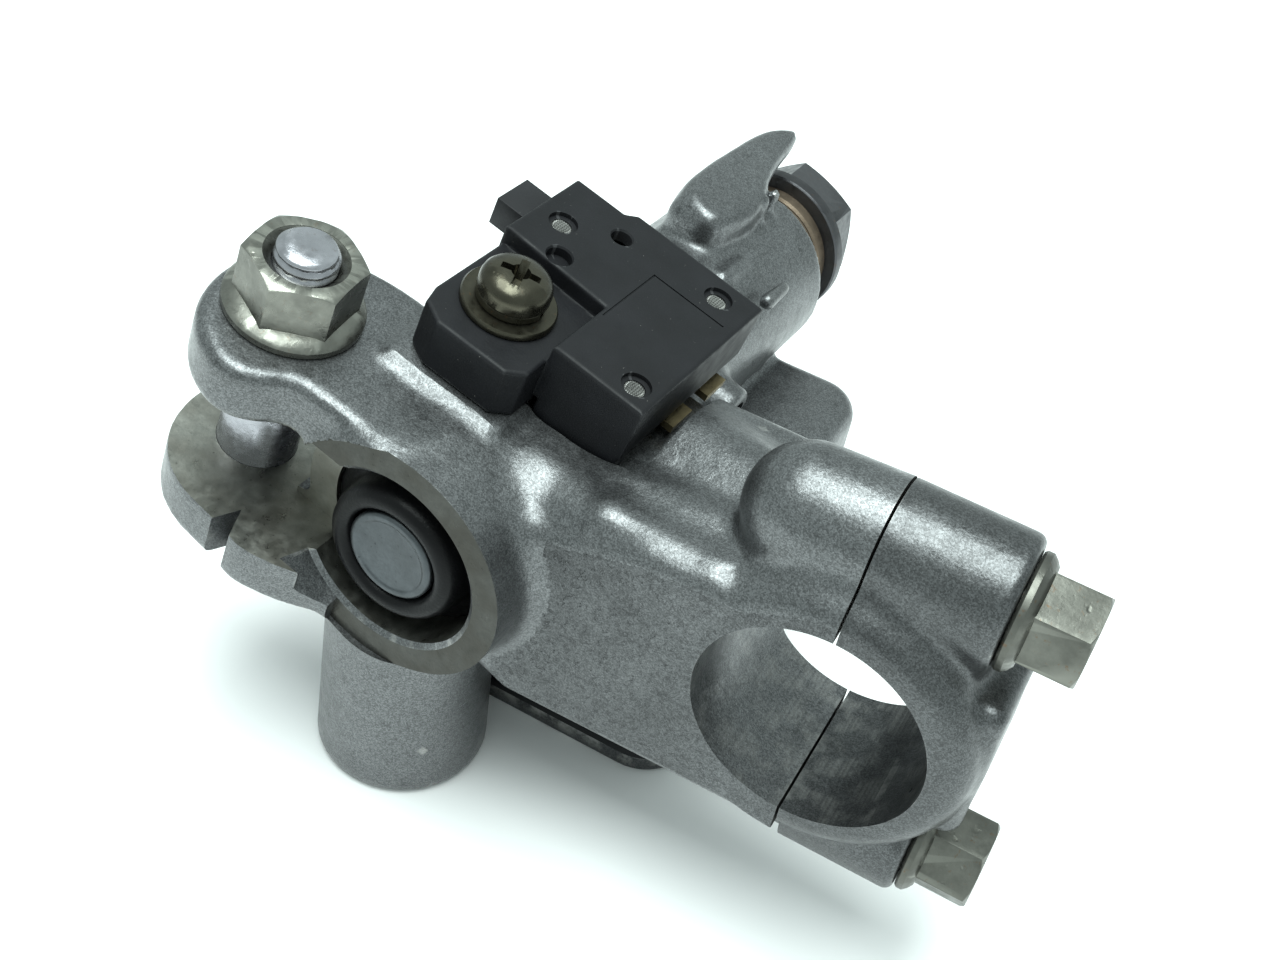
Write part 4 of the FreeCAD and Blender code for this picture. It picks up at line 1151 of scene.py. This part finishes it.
class MASTER_OT_stage(bpy.types.Operator):
    """Lays the pale floor and sets the lights and the camera"""
    bl_idname = "master_cylinder.stage"
    bl_label = "Stage"

    def execute(self, context):
        look = context.scene.master_stage
        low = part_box("reservoir_cover")[0][2] - 0.02 * MM
        size = 1.6
        floor = mesh_object("floor", [(-size, -size, low), (size, -size, low), (size, size, low),
                                      (-size, size, low)],
                            [[0, 1, 2, 3]])
        sheet = bpy.data.materials.new("floor")
        sheet.use_nodes = True
        shader = sheet.node_tree.nodes["Principled BSDF"]
        shader.inputs["Base Color"].default_value = (*look.floor, 1.0)
        shader.inputs["Roughness"].default_value = 0.55
        floor.data.materials.append(sheet)

        world = bpy.data.worlds.new("room")
        world.use_nodes = True
        world.node_tree.nodes["Background"].inputs["Color"].default_value = (0.86, 1.0, 0.98, 1.0)
        world.node_tree.nodes["Background"].inputs["Strength"].default_value = 0.80 * look.sky
        context.scene.world = world
        aim = (0.03, 0.03, 0.0)
        area_light("overhead", (-0.06, 0.03, 0.72), aim, (0.50, 0.56), 7.6 * look.key, (0.9, 1.0, 0.98))
        context.scene.view_settings.view_transform = "Standard"

        data = bpy.data.cameras.new("camera")
        data.lens = 45.0
        data.sensor_width = 36.0
        data.clip_start = 0.005
        camera = bpy.data.objects.new("camera", data)
        context.collection.objects.link(camera)
        right = Vector((0.4669, -0.8713, 0.1508))
        down = Vector((-0.5331, -0.4134, -0.7382))
        ahead = Vector((0.7055, 0.2643, -0.6576))
        turn = Matrix((right, -down, -ahead)).transposed().to_4x4()
        camera.matrix_world = Matrix.Translation(Vector((-93.12, -15.28, 105.25)) * MM) @ turn
        context.scene.camera = camera
        return {"FINISHED"}


STEPS = [MASTER_OT_casting, MASTER_OT_clamp_cap, MASTER_OT_clamp_bolts, MASTER_OT_pivot, MASTER_OT_outlet,
         MASTER_OT_piston, MASTER_OT_cover, MASTER_OT_switch, MASTER_OT_switch_screw, MASTER_OT_stage]
SETTINGS = {"master_casting": CASTING_PG, "master_hardware": HARDWARE_PG, "master_switch": SWITCH_PG,
            "master_stage": STAGE_PG}


class MASTER_PT_panel(bpy.types.Panel):
    """Lists the steps and their settings"""
    bl_idname = "MASTER_PT_panel"
    bl_label = "Master cylinder"
    bl_space_type = "VIEW_3D"
    bl_region_type = "UI"
    bl_category = "Master cylinder"

    def draw(self, context):
        for name, group in SETTINGS.items():
            box = self.layout.box()
            for prop in group.__annotations__:
                box.prop(getattr(context.scene, name), prop)
        for step in STEPS:
            self.layout.operator(step.bl_idname)


def register():
    for name, group in SETTINGS.items():
        bpy.utils.register_class(group)
        setattr(bpy.types.Scene, name, bpy.props.PointerProperty(type=group))
    for kind in STEPS + [MASTER_PT_panel]:
        bpy.utils.register_class(kind)


def unregister():
    for kind in reversed(STEPS + [MASTER_PT_panel]):
        bpy.utils.unregister_class(kind)
    for name, group in reversed(SETTINGS.items()):
        delattr(bpy.types.Scene, name)
        bpy.utils.unregister_class(group)


def main():
    register()
    for step in STEPS:
        getattr(bpy.ops.master_cylinder, step.bl_idname.split(".")[1])()


if __name__ == "__main__":
    main()
